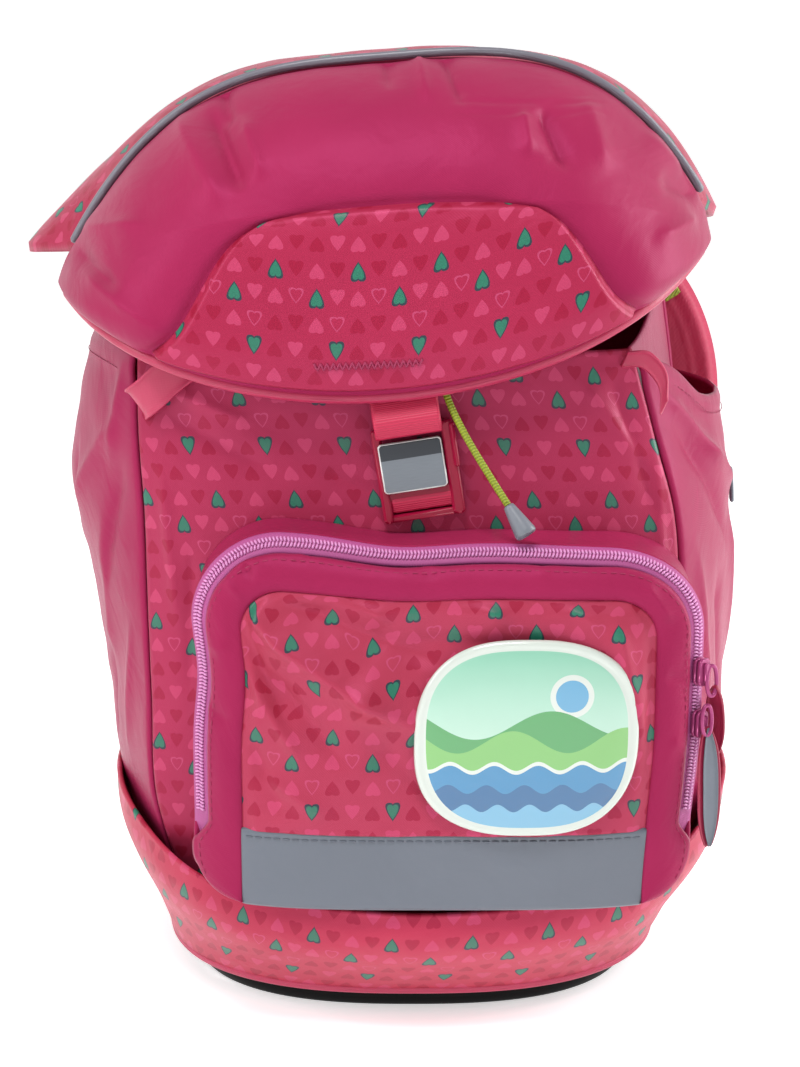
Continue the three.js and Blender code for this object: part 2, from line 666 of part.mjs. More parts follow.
function makeBadge() {
  const count = 28;
  const ring = (spread, lift) => Array.from({ length: count }, (_, i) => {
    const angle = (i / count) * 2 * Math.PI;
    const [c, s] = [Math.cos(angle), Math.sin(angle)];
    const x = BADGE_PLACE.x + (BADGE_WIDTH / 2 - spread) * Math.sign(c) * Math.abs(c) ** BADGE_SQUARENESS;
    const z = BADGE_PLACE.z + (BADGE_HEIGHT / 2 - spread) * Math.sign(s) * Math.abs(s) ** BADGE_SQUARENESS;
    const p = facePoint(x, z);
    p.y -= GAP + lift;
    return p;
  });
  const rings = [
    ring(BADGE_FIELD, GAP),
    ring(0, GAP),
    ring(0, BADGE_THICKNESS * 0.6),
    ring(BADGE_RIM, BADGE_THICKNESS),
    ring(BADGE_FIELD, BADGE_THICKNESS),
  ];
  add('badge', loft(rings), mint);
}

// Paths of the zip pullers: distances to the right of the slider and in front of it, and heights
// below the upper slider.
const PULLERS = {
  front: [[-0.6, 2, -17], [0, 3.5, -29], [0.6, 4, -44], [1, 3, -63]],
  back: [[3.6, 1, 2], [5, -4, -6], [6.4, -9, -18], [6.6, -10, -33]],
};

// Paths of the webbing loops at the lid's corners, in rows like the drawcord's, with their
// directions across and their widths.
const CORNER_LOOPS = {
  left: {
    path: [[-80, -6.15, 240], [-88, -6.15, 234], [-95, -6.65, 226], [-98, -12.15, 217]].map(beforePanel),
    across: [0.35, -0.2, 0.9],
    width: 11,
  },
  right: {
    path: [[76, -9.65, 243], [83, -7.15, 243], [89, -7.15, 236], [90, -9.15, 226]].map(beforePanel),
    across: [0.3, -0.4, 0.85],
    width: 5,
  },
};

function makeTrim() {
  const off = (SLIDER.thickness / 2 + GAP) * Math.SQRT1_2;
  const x = POCKET_ASIDE + POCKET_WIDTH / 2 + (ZIP_MARGIN - ZIP_CHAMFER) / 2 + off;
  const y = -(ZIP_BACK + ZIP_WIDTH / 2) - off;
  for (const [name, z] of Object.entries(SLIDER_HEIGHTS)) {
    const body = new THREE.BoxGeometry(SLIDER.width, SLIDER.thickness, SLIDER.height);
    add(`zip_slider_${name}`, body.rotateZ(Math.PI / 4).translate(x, y, z), zipTape);
  }
  const reach = x + SLIDER.thickness * Math.SQRT1_2 + GAP;
  const route = (rows) => rows.map(([aside, out, rise]) => [reach + aside, y - out, SLIDER_HEIGHTS.upper + rise]);
  add('zip_puller_front', ribbon(route(PULLERS.front), [0.75, 0.66, 0], PULLER_WIDTH, WEBBING, 6), reflective);
  add('zip_puller_back', ribbon(route(PULLERS.back), [0.75, -0.66, 0], PULLER_WIDTH, WEBBING, 6), nylon);
  for (const [name, loop] of Object.entries(CORNER_LOOPS)) {
    add(`corner_loop_${name}`, ribbon(loop.path, loop.across, loop.width, WEBBING, 6), webbing);
  }
}

// Carrying parts behind: a padded back, two shoulder straps with their webbing, and a grab handle

// The straps' centre lines from the top of the back down: x in half widths, y in body depths behind the
// back padding, z in bag heights.
const STRAP = table(
  ['at', 'x', 'y', 'z'],
  [
    [0.00, 0.20, 0.000, 0.668],
    [0.25, 0.46, 0.030, 0.712],
    [0.50, 0.72, 0.055, 0.685],
    [0.75, 0.835, 0.060, 0.580],
    [1.00, 0.740, 0.020, 0.430],
  ],
);

const PADDING_FRONT = 0.52 * BODY_DEPTH + CLOTH + GAP;
const PADDING_BACK = PADDING_FRONT + BACK_PADDING;

function strapPoint(side, across, along) {
  const row = (column) => smooth(STRAP, along, column);
  const step = 0.01;
  const run = (column, size) => size * (smooth(STRAP, along + step, column) - smooth(STRAP, along - step, column));
  const [dx, dz] = [run('x', HALF_WIDTH), run('z', BAG_HEIGHT)];
  const reach = ((across - 0.5) * STRAP_WIDTH) / Math.hypot(dx, dz);
  return new THREE.Vector3(
    side * (row('x') * HALF_WIDTH - dz * reach),
    PADDING_BACK + GAP + row('y') * BODY_DEPTH,
    row('z') * BAG_HEIGHT + dx * reach,
  );
}

function makeCarry() {
  const padding = (u, v) => {
    const z = lerp(BAND_TOP.side, SIDE_TOP, v);
    const half = HALF_WIDTH * smooth(BODY, z / BAG_HEIGHT, 'backHalf') - 4 * CLOTH;
    return new THREE.Vector3((2 * u - 1) * half, PADDING_FRONT, z);
  };
  add('back_padding', wall(padding, 0, -BACK_PADDING, 4, 6), nylon);
  for (const [name, side] of [['left', -1], ['right', 1]]) {
    const strap = (u, v) => strapPoint(side, u, v);
    add(`shoulder_strap_${name}`, wall(strap, 0, side * STRAP_PADDING, 4, 16), nylon);
    const foot = strapPoint(side, 0.5, 1);
    const drop = BAND_TOP.side + 2 * HANDLE_WIDTH / 3;
    const tail = [
      [foot.x, foot.y + STRAP_PADDING / 2, foot.z - 4],
      [foot.x, PADDING_BACK + 2, lerp(foot.z, drop, 0.6)],
      [foot.x, PADDING_BACK + 1.5, drop],
    ];
    add(`strap_webbing_${name}`, ribbon(tail, [1, 0, 0], HANDLE_WIDTH, WEBBING, 5), webbing);
    const trim = (u, v) => strapPoint(side, lerp(0.84, 0.98, u), lerp(0.44, 0.56, v));
    add(`strap_trim_${name}`, wall(trim, -side * GAP, -side * (GAP + WEBBING), 1, 4), lime);
  }
  const [reach, foot] = [0.3 * HALF_WIDTH, SIDE_TOP + 2 * GAP];
  const depth = PADDING_BACK - HANDLE_WIDTH / 5;
  const grip = [[-1, 0], [-0.92, 0.6], [0, 1], [0.92, 0.6], [1, 0]]
    .map(([aside, rise]) => [aside * reach, depth, foot + rise * HANDLE_RISE]);
  add('grab_handle', ribbon(grip, [0, 1, 0], HANDLE_WIDTH / 3, 2 * WEBBING, 14), webbing);
  const tab = (u, v) => sidePocketPoint(1, lerp(0.5, 0.54, u), lerp(0.5, 0.535, v) * BAG_HEIGHT);
  add('side_tab', wall(tab, GAP + WEBBING, GAP, 1, 2), reflective);
}

makeLid();
makeBase();
makeBody();
makePocket();
makeClosure();
makeDrawcord();
makeBadge();
makeTrim();
makeCarry();

const middle = new THREE.Box3().setFromObject(bag).getCenter(new THREE.Vector3());
bag.position.set(-middle.x, -middle.y, 0);

export default bag;
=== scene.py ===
# %% [markdown]
# # A child's school backpack
# The bag stands on a moulded tray. Its parts are sewn cloth, foam, webbing, a zip and a buckle.
# Each step below first says what the piece is on the real bag, and then builds it as a surface
# worked out with numpy. All work is in millimetres in the bag's own frame, and one function
# turns that into the metres of the scene.

# %% Start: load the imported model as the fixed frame
import functools
import json
import math

import bpy
import numpy as np
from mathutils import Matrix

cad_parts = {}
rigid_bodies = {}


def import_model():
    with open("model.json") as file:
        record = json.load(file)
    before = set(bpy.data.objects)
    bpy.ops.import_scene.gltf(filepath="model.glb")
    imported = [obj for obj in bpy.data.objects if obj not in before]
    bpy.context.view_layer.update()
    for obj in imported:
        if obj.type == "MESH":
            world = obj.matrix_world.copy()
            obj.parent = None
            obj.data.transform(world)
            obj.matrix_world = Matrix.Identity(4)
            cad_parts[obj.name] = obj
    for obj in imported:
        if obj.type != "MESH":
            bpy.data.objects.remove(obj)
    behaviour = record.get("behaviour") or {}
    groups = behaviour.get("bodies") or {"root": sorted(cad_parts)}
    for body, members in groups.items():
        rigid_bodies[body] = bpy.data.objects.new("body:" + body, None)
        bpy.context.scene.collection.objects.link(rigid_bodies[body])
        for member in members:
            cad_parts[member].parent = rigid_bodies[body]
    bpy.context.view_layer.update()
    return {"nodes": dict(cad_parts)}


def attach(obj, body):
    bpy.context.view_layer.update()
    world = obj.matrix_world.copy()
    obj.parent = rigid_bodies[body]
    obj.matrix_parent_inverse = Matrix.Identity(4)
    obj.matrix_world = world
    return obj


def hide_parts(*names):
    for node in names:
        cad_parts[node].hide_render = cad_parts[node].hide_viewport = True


for item in list(bpy.data.objects):
    bpy.data.objects.remove(item)
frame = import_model()
print("nodes in the frame:", len(frame["nodes"]))

# %% [markdown]
# ## Camera
# The photograph looks down at the bag from a little above its lid, from straight in front.
# The camera stands where the bag's height and the tray's visible depth put it.

# %% Camera
camera_data = bpy.data.cameras.new("camera")
camera_data.sensor_fit = "VERTICAL"
camera_data.sensor_height = 36.0
camera_data.lens = 70.7
camera = bpy.data.objects.new("camera", camera_data)
camera.location = (0.0043, -0.7882, 0.359)
camera.rotation_euler = (math.radians(76.187), 0.0, 0.0)
bpy.context.scene.collection.objects.link(camera)
bpy.context.scene.camera = camera
print("camera lens in mm:", camera_data.lens)

# %% [markdown]
# ## Sizes
# These are the named sizes of the bag in millimetres. The cloth is two millimetres thick with its
# lining, and padded parts are thicker.

# %% Sizes
BAG_HEIGHT, BAG_WIDTH, BODY_DEPTH = 350.0, 250.0, 150.0
HALF_WIDTH = BAG_WIDTH / 2
CLOTH, LID_PADDING, BACK_PADDING, STRAP_PADDING, GAP = 2.0, 5.0, 9.0, 9.0, 0.4
TRAY_HEIGHT, TRAY_WALL, BAND_START = 17.0, 4.0, 13.0
POCKET_WIDTH, POCKET_HEIGHT, POCKET_FOOT, POCKET_ASIDE = 176.0, 129.0, 58.0, 13.0
POCKET_DEPTH, POCKET_BULGE, POCKET_TOP_RADIUS, POCKET_FOOT_RADIUS = 28.0, 13.0, 32.0, 16.0
ZIP_WIDTH, ZIP_CHAMFER, ZIP_MARGIN, ZIP_FOOT, RIM_WIDTH = 5.5, 4.0, 1.2, 86.0, 12.5
STRIP_HEIGHT = 26.0
PIPING, REFLECTIVE_PIPING, CORD = 4.0, 3.2, 2.5
WEBBING_WIDTH, WEBBING = 22.0, 1.6
BUCKLE_WIDTH, BUCKLE_HEIGHT, BUCKLE_THICKNESS = 29.0, 34.0, 4.0
BUCKLE_TILT = math.radians(-9)
WALL_TOP, SIDE_TOP, BACK_TOP = 0.7 * BAG_HEIGHT, 0.735 * BAG_HEIGHT, 0.75 * BAG_HEIGHT
BAND_SIDE, BAND_FRONT = 0.215 * BAG_HEIGHT, 0.1505 * BAG_HEIGHT
POCKET_BACK = 0.48 * BODY_DEPTH
ZIP_BACK = POCKET_BACK + POCKET_DEPTH - ZIP_WIDTH
FACE_INSET = ZIP_CHAMFER + RIM_WIDTH
PADDING_FRONT = 0.52 * BODY_DEPTH + CLOTH + GAP
PADDING_BACK = PADDING_FRONT + BACK_PADDING

# Lengths on the cloth itself: across and up the lid's front, up the lid's top, and up the inset.
LID_ACROSS, LID_UP, LID_TOP_UP, INSET_UP = 235.0, 165.0, 70.0, 77.0
STRAP_WIDTH, STRAP_RUN, HANDLE_WIDTH, HANDLE_RISE = 50.0, 150.0, WEBBING_WIDTH / 3, 27.0

# The small step in u and v that finds a surface's slope, and how many points go round a ring.
SLOPE_STEP, STRAP_STEP = 2e-3, 0.01
TRAY_COUNT, BADGE_COUNT, CAP_COUNT, PIPING_COUNT = 240, 160, 32, 220

# The scene's origin is under the middle of the whole bag, and this is where the bag's own origin lies.
BAG_ORIGIN = np.array([7.687, 4.821, 0.0])
print("bag size in mm:", BAG_WIDTH, BODY_DEPTH, BAG_HEIGHT)

# %% [markdown]
# ## Tables of sections
# A soft form is described by a few sections. Each row of a table is one section, each column one
# size of it, given as a share of a named size. Between rows a smooth curve is followed.

# %% Tables
def table(columns, rows):
    """A table as one array for each named column."""
    return dict(zip(columns.split(), np.array(rows, float).T))


LID = table("at left right leftZ rightZ rise tipY midY powerL powerR wrap", [
    [0.00, -1.055, 0.905, 0.760, 0.806, -0.113, -0.067, -0.560, 2.0, 2.0, 6.0],
    [0.20, -1.050, 0.902, 0.763, 0.809, -0.060, -0.070, -0.575, 2.0, 2.0, 6.0],
    [0.45, -1.042, 0.897, 0.767, 0.813, 0.046, -0.075, -0.540, 2.2, 2.2, 4.5],
    [0.72, -1.030, 0.890, 0.771, 0.820, 0.130, -0.080, -0.410, 2.7, 2.7, 3.2],
    [1.00, -1.010, 0.880, 0.775, 0.826, 0.182, -0.080, -0.165, 3.3, 3.3, 2.2],
    [1.30, -1.190, 0.965, 0.768, 0.800, 0.202, 0.120, 0.110, 2.3, 4.2, 2.2],
    [1.65, -1.130, 0.950, 0.762, 0.785, 0.180, 0.360, 0.360, 2.6, 4.0, 2.2],
    [2.00, -0.950, 0.860, 0.760, 0.765, 0.004, 0.535, 0.535, 4.0, 4.0, 2.2],
])
LID_INSET = table("at left right", [
    [0.02, 0.175, 0.858],
    [0.18, 0.210, 0.828],
    [0.32, 0.245, 0.796],
    [0.42, 0.280, 0.762],
    [0.47, 0.320, 0.730],
    [0.49, 0.370, 0.690],
])
BODY = table("at half lean noseY seamY leftWide rightWide backHalf backY", [
    [0.055, 0.64, 0.016, -0.430, -0.350, 0.84, 0.86, 0.70, 0.44],
    [0.215, 0.76, 0.016, -0.465, -0.400, 0.93, 0.99, 0.86, 0.50],
    [0.340, 0.77, 0.016, -0.480, -0.400, 0.965, 1.005, 0.90, 0.52],
    [0.430, 0.77, 0.012, -0.485, -0.400, 1.00, 1.01, 0.90, 0.52],
    [0.530, 0.76, 0.000, -0.485, -0.400, 1.055, 1.00, 0.90, 0.52],
    [0.620, 0.73, -0.040, -0.475, -0.400, 1.02, 0.96, 0.88, 0.52],
    [0.715, 0.69, -0.072, -0.465, -0.400, 0.95, 0.91, 0.84, 0.51],
    [0.800, 0.66, -0.072, -0.460, -0.400, 0.90, 0.88, 0.80, 0.50],
])
SIDE_RIM = table("at left right", [
    [0.00, 0.995, 0.990],
    [0.12, 1.000, 0.965],
    [0.30, 1.000, 0.905],
    [0.60, 0.990, 0.890],
    [1.00, 0.960, 0.880],
])
BAND = table("at half lean front back power", [
    [0.00, 0.755, 0.01, 0.540, 0.450, 2.5],
    [0.25, 0.812, 0.02, 0.610, 0.500, 2.3],
    [0.55, 0.892, 0.03, 0.690, 0.530, 2.1],
    [0.80, 0.940, 0.037, 0.724, 0.545, 1.95],
    [1.00, 0.945, 0.04, 0.722, 0.550, 1.9],
])
STRAP = table("at x y z", [
    [0.00, 0.20, 0.000, 0.668],
    [0.25, 0.46, 0.030, 0.712],
    [0.50, 0.72, 0.055, 0.685],
    [0.75, 0.835, 0.060, 0.580],
    [1.00, 0.740, 0.020, 0.430],
])
print("sections of the lid and of the body:", len(LID["at"]), len(BODY["at"]))

# %% [markdown]
# ### Curves and small helpers
# One function reads a table between its rows, and the other ones are the simple curves and vectors
# that every surface is put together from.

# %% Curves and small helpers
def smooth(rows, at, column):
    """Value of a column at a place: a cubic from row to row, whose slope at a row is that of the
    line through its two neighbours."""
    places, values = rows["at"], rows[column]
    last = len(places) - 1
    at = np.asarray(at, float)
    i = np.clip(np.searchsorted(places, at, side="left") - 1, 0, last - 1)

    def slope(k):
        """Slope of the line through a row's two neighbours."""
        a, b = np.maximum(k - 1, 0), np.minimum(k + 1, last)
        return (values[b] - values[a]) / (places[b] - places[a])

    span = places[i + 1] - places[i]
    t = (at - places[i]) / span
    eased = t * t * (3 - 2 * t)
    bend = span * t * (1 - t) * ((1 - t) * slope(i) - t * slope(i + 1))
    return values[i] + (values[i + 1] - values[i]) * eased + bend


def lerp(a, b, t):
    """From a to b as t runs from 0 to 1."""
    return a + (b - a) * t


def ease(x):
    """Zero below 0, one above 1, and a smooth step between."""
    x = np.clip(x, 0, 1)
    return x * x * (3 - 2 * x)


def bump(x, middle, width):
    """A soft hump of height one: exp(-d²), with d the distance from its middle in widths."""
    return np.exp(-(((x - middle) / width) ** 2))


def off_seam(distance, reach):
    """Zero on a seam and one away from it: 1 - exp(-distance / reach)."""
    return 1 - np.exp(-distance / reach)


def to_edge(u):
    """Way to the nearer end of a run from 0 to 1."""
    return np.minimum(u, 1 - u)


def vector(x, y, z):
    """Points from their x, y and z."""
    return np.stack(np.broadcast_arrays(x, y, z), axis=-1)


def unit(v):
    """Vectors of the same direction and of length one."""
    return v / np.maximum(np.linalg.norm(v, axis=-1, keepdims=True), 1e-12)


def lengths(path):
    """Length from the start of a path to each of its points."""
    return np.concatenate([[0], np.cumsum(np.linalg.norm(np.diff(path, axis=0), axis=1))])


print("lid height at its ridge in mm:", float(BAG_HEIGHT * smooth(LID, 1.0, "leftZ")))

# %% [markdown]
# ## Cloth walls
# Every panel is a closed wall: an outer skin, an inner skin, and a rounded edge between them.
# Both skins may be lifted point by point, which is how puckers, folds and padding are made.
# The wall also gets a flat layout, with lengths along the cloth, so that print and weave follow it.

# %% Walls from surfaces
def normals(surface, u, v):
    """Unit normal of a surface, from small steps to both sides in u and v."""
    du = surface(u + SLOPE_STEP, v) - surface(u - SLOPE_STEP, v)
    dv = surface(u, v + SLOPE_STEP) - surface(u, v - SLOPE_STEP)
    return unit(np.cross(du, dv))


def laid_flat(grid):
    """Lengths along the rows from their middle, and along the columns from their foot, in metres."""
    def run(axis):
        """Length added up along one way of the grid."""
        steps = np.linalg.norm(np.diff(grid, axis=axis), axis=-1)
        start = np.zeros_like(np.take(steps, [0], axis=axis))
        return np.cumsum(np.concatenate([start, steps], axis=axis), axis=axis)

    along, up = run(1), run(0)
    along = along - along[:, [grid.shape[1] // 2]]
    return np.stack([along, up], axis=-1) / 1000


def new_piece(name, points, faces, flat, look, replaced=()):
    """A mesh from points in millimetres, faces turned outward by the sign of the volume, with the
    cloth's flat layout, riding on the bag."""
    points = np.asarray(points, float)
    quads = np.array([f if len(f) == 4 else (*f, f[0]) for f in faces])
    corner = points[quads]
    first = np.einsum("ij,ij->i", corner[:, 0], np.cross(corner[:, 1], corner[:, 2]))
    second = np.einsum("ij,ij->i", corner[:, 0], np.cross(corner[:, 2], corner[:, 3]))
    if first.sum() + second.sum() < 0:
        faces = [tuple(reversed(f)) for f in faces]
    mesh = bpy.data.meshes.new(name)
    mesh.from_pydata((points + BAG_ORIGIN) / 1000, [], faces)
    layer = mesh.uv_layers.new(name="cloth")
    corners = np.zeros(len(mesh.loops), np.int32)
    mesh.loops.foreach_get("vertex_index", corners)
    layer.data.foreach_set("uv", np.asarray(flat, np.float32)[corners].ravel())
    mesh.shade_smooth()
    mesh.polygons.foreach_set("use_smooth", [len(face) == 4 for face in faces])
    return placed(name, mesh, look, replaced)


def placed(name, mesh, look, replaced=()):
    """The object of a mesh, with its material, riding on the bag and standing for its nodes."""
    mesh.materials.append(look)
    piece = bpy.data.objects.new(name, mesh)
    bpy.context.scene.collection.objects.link(piece)
    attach(piece, "root")
    if replaced:
        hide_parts(*replaced)
    return piece


def cells(grid):
    """Quads of a grid of corner numbers."""
    a, b, c, d = grid[:-1, :-1], grid[:-1, 1:], grid[1:, 1:], grid[1:, :-1]
    return np.stack([a, b, c, d], -1).reshape(-1, 4)


def strip(a, b):
    """Quads between two equally long lists of corner numbers."""
    return [(a[k + 1], a[k], b[k], b[k + 1]) for k in range(len(a) - 1)]


print("quads in a grid of three by three corners:", len(cells(np.arange(9).reshape(3, 3))))

# %% [markdown]
# ### The wall itself
# A wall's two skins are one grid laid twice. A ring of extra points half a thickness outside the grid
# rounds every free edge. A closed wall, such as the foot band, runs round the bag and has two rings.

# %% One wall
def wall(name, surface, near, far, columns, rows, look, lift=None, closed=False, replaced=()):
    """A closed wall between two depths along a surface's normal. Its edges are rounded by a ring set
    out by half the thickness. lift(u, v, x, y, z) gives the extra height of both skins."""
    u, v = np.meshgrid(np.linspace(0, 1, columns + 1), np.linspace(0, 1, rows + 1))
    if closed:
        u, v = u[:, :-1], v[:, :-1]
    base, out = surface(u, v), normals(surface, u, v)
    turned = 1.0 if near > far else -1.0
    raised = lift(u, v, *np.moveaxis(base, -1, 0)) if lift else np.zeros_like(u)
    outer = base + out * (near + turned * raised)[..., None]
    inner = base + out * (far + turned * raised)[..., None]
    middle = (outer + inner) / 2
    thickness = abs(near - far)
    height, width = u.shape
    count = height * width
    ids = np.arange(count).reshape(height, width)
    if closed:
        wide = np.concatenate([ids, ids[:, :1]], axis=1)
        loops = [list(wide[0]), list(wide[-1][::-1])]
        inward = [middle[1] - middle[0], (middle[-2] - middle[-1])[::-1]]
        inward = [np.concatenate([part, part[:1]]) for part in inward]
    else:
        wide = ids
        loops = [list(ids[0]) + list(ids[1:, -1]) + list(ids[-1, -2::-1]) + list(ids[-2::-1, 0])]
        step_u = np.zeros_like(middle)
        step_u[:, 0], step_u[:, -1] = middle[:, 1] - middle[:, 0], middle[:, -2] - middle[:, -1]
        step_v = np.zeros_like(middle)
        step_v[0], step_v[-1] = middle[1] - middle[0], middle[-2] - middle[-1]
        inward = [(unit(step_u) * (step_u != 0) + unit(step_v) * (step_v != 0)).reshape(-1, 3)[loops[0]]]
    quads = cells(wide)
    faces = [tuple(q) for q in quads] + [tuple(q) for q in (quads + count)[:, ::-1]]
    points = [outer.reshape(-1, 3), inner.reshape(-1, 3)]
    flat = [laid_flat(outer).reshape(-1, 2)] * 2
    total = 2 * count
    for loop, towards in zip(loops, inward):
        loop = [int(k) for k in loop]
        ring = middle.reshape(-1, 3)[loop[:-1]] - unit(towards[:-1]) * thickness / 2
        ids_ring = list(range(total, total + len(ring)))
        total += len(ring)
        points.append(ring)
        flat.append(flat[0][loop[:-1]])
        ids_ring.append(ids_ring[0])
        faces += strip(loop, ids_ring) + strip(ids_ring, [k + count for k in loop])
    return new_piece(name, np.concatenate(points), faces, np.concatenate(flat), look, replaced)


print("shape of the flat layout of two by two corners:", laid_flat(np.zeros((2, 2, 3))).shape)

# %% [markdown]
# ## Tubes and slabs
# Pipings and cords are a round profile carried along a path. Flat moulded parts are an outline
# carried through a few depths, drawn in at its edges so that light catches them.

# %% Tubes and slabs
def spread(points, count):
    """Points at equal steps along a smooth curve through the given ones."""
    points = np.asarray(points, float)
    rows = dict(at=np.linspace(0, 1, len(points)), x=points[:, 0], y=points[:, 1], z=points[:, 2])
    fine = np.linspace(0, 1, 12 * count)
    curve = vector(*(smooth(rows, fine, axis) for axis in "xyz"))
    run = lengths(curve)
    places = np.linspace(0, run[-1], count)
    return vector(*(np.interp(places, run, curve[:, k]) for k in range(3)))


def rings(count, sides, closed=False):
    """Faces of a body of rings, each with the same number of points: quads from ring to ring, and a
    cap at both ends unless the last ring joins the first."""
    ids = np.arange(count * sides).reshape(count, sides)
    grid = np.concatenate([ids, ids[:, :1]], axis=1)
    if closed:
        grid = np.concatenate([grid, grid[:1]], axis=0)
    faces = [tuple(q) for q in cells(grid)]
    return faces if closed else faces + [tuple(ids[0][::-1]), tuple(ids[-1])]


def frames(path, up):
    """Tangent, side and upward direction at each point of a path, from one leading direction."""
    ahead = unit(np.gradient(path, axis=0))
    side = unit(np.cross(ahead, np.broadcast_to(up, ahead.shape)))
    return ahead, side, unit(np.cross(side, ahead))


def tube(name, path, radius, look, sides=14, up=(0.0, 0.0, 1.0), closed=False, replaced=()):
    """A round tube: at each point of the path a circle in the plane across it. Open ends are drawn in
    to a point."""
    path = np.asarray(path, float)
    radius = np.broadcast_to(np.asarray(radius, float), (len(path),)).copy()
    ahead, side, lifted = frames(path, np.asarray(up, float))
    if not closed:
        first, last = path[:1] - ahead[:1] * radius[0] * 0.6, path[-1:] + ahead[-1:] * radius[-1] * 0.6
        path = np.concatenate([first, path, last])
        side = np.concatenate([side[:1], side, side[-1:]])
        lifted = np.concatenate([lifted[:1], lifted, lifted[-1:]])
        radius = np.concatenate([radius[:1] * 0.5, radius, radius[-1:] * 0.5])
    angle = np.linspace(0, 2 * np.pi, sides, endpoint=False)
    circle = np.cos(angle)[None, :, None] * side[:, None] + np.sin(angle)[None, :, None] * lifted[:, None]
    grid = path[:, None] + circle * radius[:, None, None]
    flat = np.stack(np.meshgrid(angle * radius.mean(), lengths(path)), -1).reshape(-1, 2) / 1000
    faces = rings(len(path), sides, closed)
    return make_with_caps(name, grid.reshape(-1, 3), faces, flat, look, replaced)


def make_with_caps(name, points, faces, flat, look, replaced=()):
    """Cuts many-sided end faces into fans round their own middle, and makes the piece."""
    points, flat = np.asarray(points, float), np.asarray(flat, float)
    plain = [f for f in faces if len(f) <= 4]
    for face in (f for f in faces if len(f) > 4):
        middle = len(points)
        points = np.concatenate([points, points[list(face)].mean(0, keepdims=True)])
        flat = np.concatenate([flat, flat[list(face)].mean(0, keepdims=True)])
        plain += [(face[k], face[(k + 1) % len(face)], middle) for k in range(len(face))]
    return new_piece(name, points, plain, flat, look, replaced)


def rounded(width, height, radius, inset=0.0, count=8, middle=(0.0, 0.0)):
    """Outline of a rectangle with round corners, drawn in by an inset, as points in x and z."""
    radius = max(radius - inset, 0.05)
    w, h = width / 2 - inset - radius, height / 2 - inset - radius
    angle = np.concatenate([np.linspace(q, q + np.pi / 2, count) for q in np.arange(4) * np.pi / 2])
    x = np.where(np.cos(angle + 1e-9) > 0, w, -w) + radius * np.cos(angle)
    z = np.where(np.sin(angle + 1e-9) > 0, h, -h) + radius * np.sin(angle)
    return np.stack([x + middle[0], z + middle[1]], -1)


def slab(outline, back, thickness, edge):
    """Points and faces of a flat body: an outline carried from its back to its front face, drawn in
    at both by the edge's roundness."""
    levels = [(0.0, edge), (edge * 0.3, edge * 0.3), (edge, 0.0), (thickness - edge, 0.0),
              (thickness - edge * 0.3, edge * 0.3), (thickness, edge)]
    layers = [np.insert(outline(inset), 1, back - depth, axis=1) for depth, inset in levels]
    return np.concatenate(layers), rings(len(layers), len(layers[0]))


def plain_body(name, points, faces, look, replaced=()):
    """A body whose material needs no flat layout."""
    return make_with_caps(name, points, faces, np.zeros((len(points), 2)), look, replaced)


def joined(parts):
    """Several bodies' points and faces as one list of each."""
    points, faces, start = [], [], 0
    for part_points, part_faces in parts:
        points.append(part_points)
        faces += [tuple(k + start for k in f) for f in part_faces]
        start += len(part_points)
    return np.concatenate(points), faces


print("a slab has", len(slab(lambda inset: rounded(10.0, 10.0, 2.0, inset), 0.0, 1.0, 0.3)[1]), "faces")

# %% [markdown]
# ### Rows of small beads
# Stitches and zip loops are one bead repeated along a line, all in one mesh. A bead is a few rings
# whose radius grows from its ends to its middle.

# %% Beads and stitches
def beads(name, places, ahead, side, out, size, look):
    """One small bead at every place. Its sizes run ahead, to the side and outward."""
    profile, sides = np.array([[-1.0, 0.35], [-0.75, 0.85], [0.0, 1.0], [0.75, 0.85], [1.0, 0.35]]), 6
    angle = np.linspace(0, 2 * np.pi, sides, endpoint=False)
    local = np.stack([
        np.repeat(profile[:, :1], sides, 1),
        profile[:, 1:] * np.cos(angle)[None],
        profile[:, 1:] * np.sin(angle)[None],
    ], -1).reshape(-1, 3) * np.asarray(size) / 2
    axes = np.stack([ahead, side, out], 1)
    points = places[:, None] + np.einsum("pk,nkj->npj", local, axes)
    one = rings(len(profile), sides)
    faces = [tuple(k + n * len(local) for k in f) for n in range(len(places)) for f in one]
    if np.dot(np.cross(ahead[0], side[0]), out[0]) < 0:
        faces = [tuple(reversed(f)) for f in faces]
    mesh = bpy.data.meshes.new(name)
    mesh.from_pydata((points.reshape(-1, 3) + BAG_ORIGIN) / 1000, [], faces)
    mesh.shade_smooth()
    return placed(name, mesh, look)


def stitches(name, surface, line, pitch, look, length=2.6, thick=0.5, proud=0.2):
    """A row of stitches on a surface: line(t) gives u and v, and beads lie at equal steps on it."""
    t = np.linspace(0, 1, 400)
    u, v = line(t)
    run = lengths(surface(u, v))
    places = np.arange(pitch / 2, run[-1], pitch)
    at = np.interp(places, run, t)
    u, v = line(at)
    middle = surface(u, v)
    ahead = unit(surface(*line(at + 1e-3)) - surface(*line(at - 1e-3)))
    out = normals(surface, u, v)
    if (out * (middle - np.array([0.0, 0.0, 0.45 * BAG_HEIGHT]))).sum() < 0:
        out = -out
    side = unit(np.cross(out, ahead))
    out = np.cross(ahead, side)
    return beads(name, middle + out * proud, ahead, side, out, (length, thick * 1.3, thick), look)


print("beads and stitches are ready")

# %% [markdown]
# ## Folds
# Cloth pulled at a seam or a corner makes folds: long soft ridges and valleys that start at the
# pull and fade out. Each row of a fold table is one of them, from one place to another in
# millimetres seen from the front, with its width and its height. Below them lies a slight
# unevenness, made of a few waves in different directions.

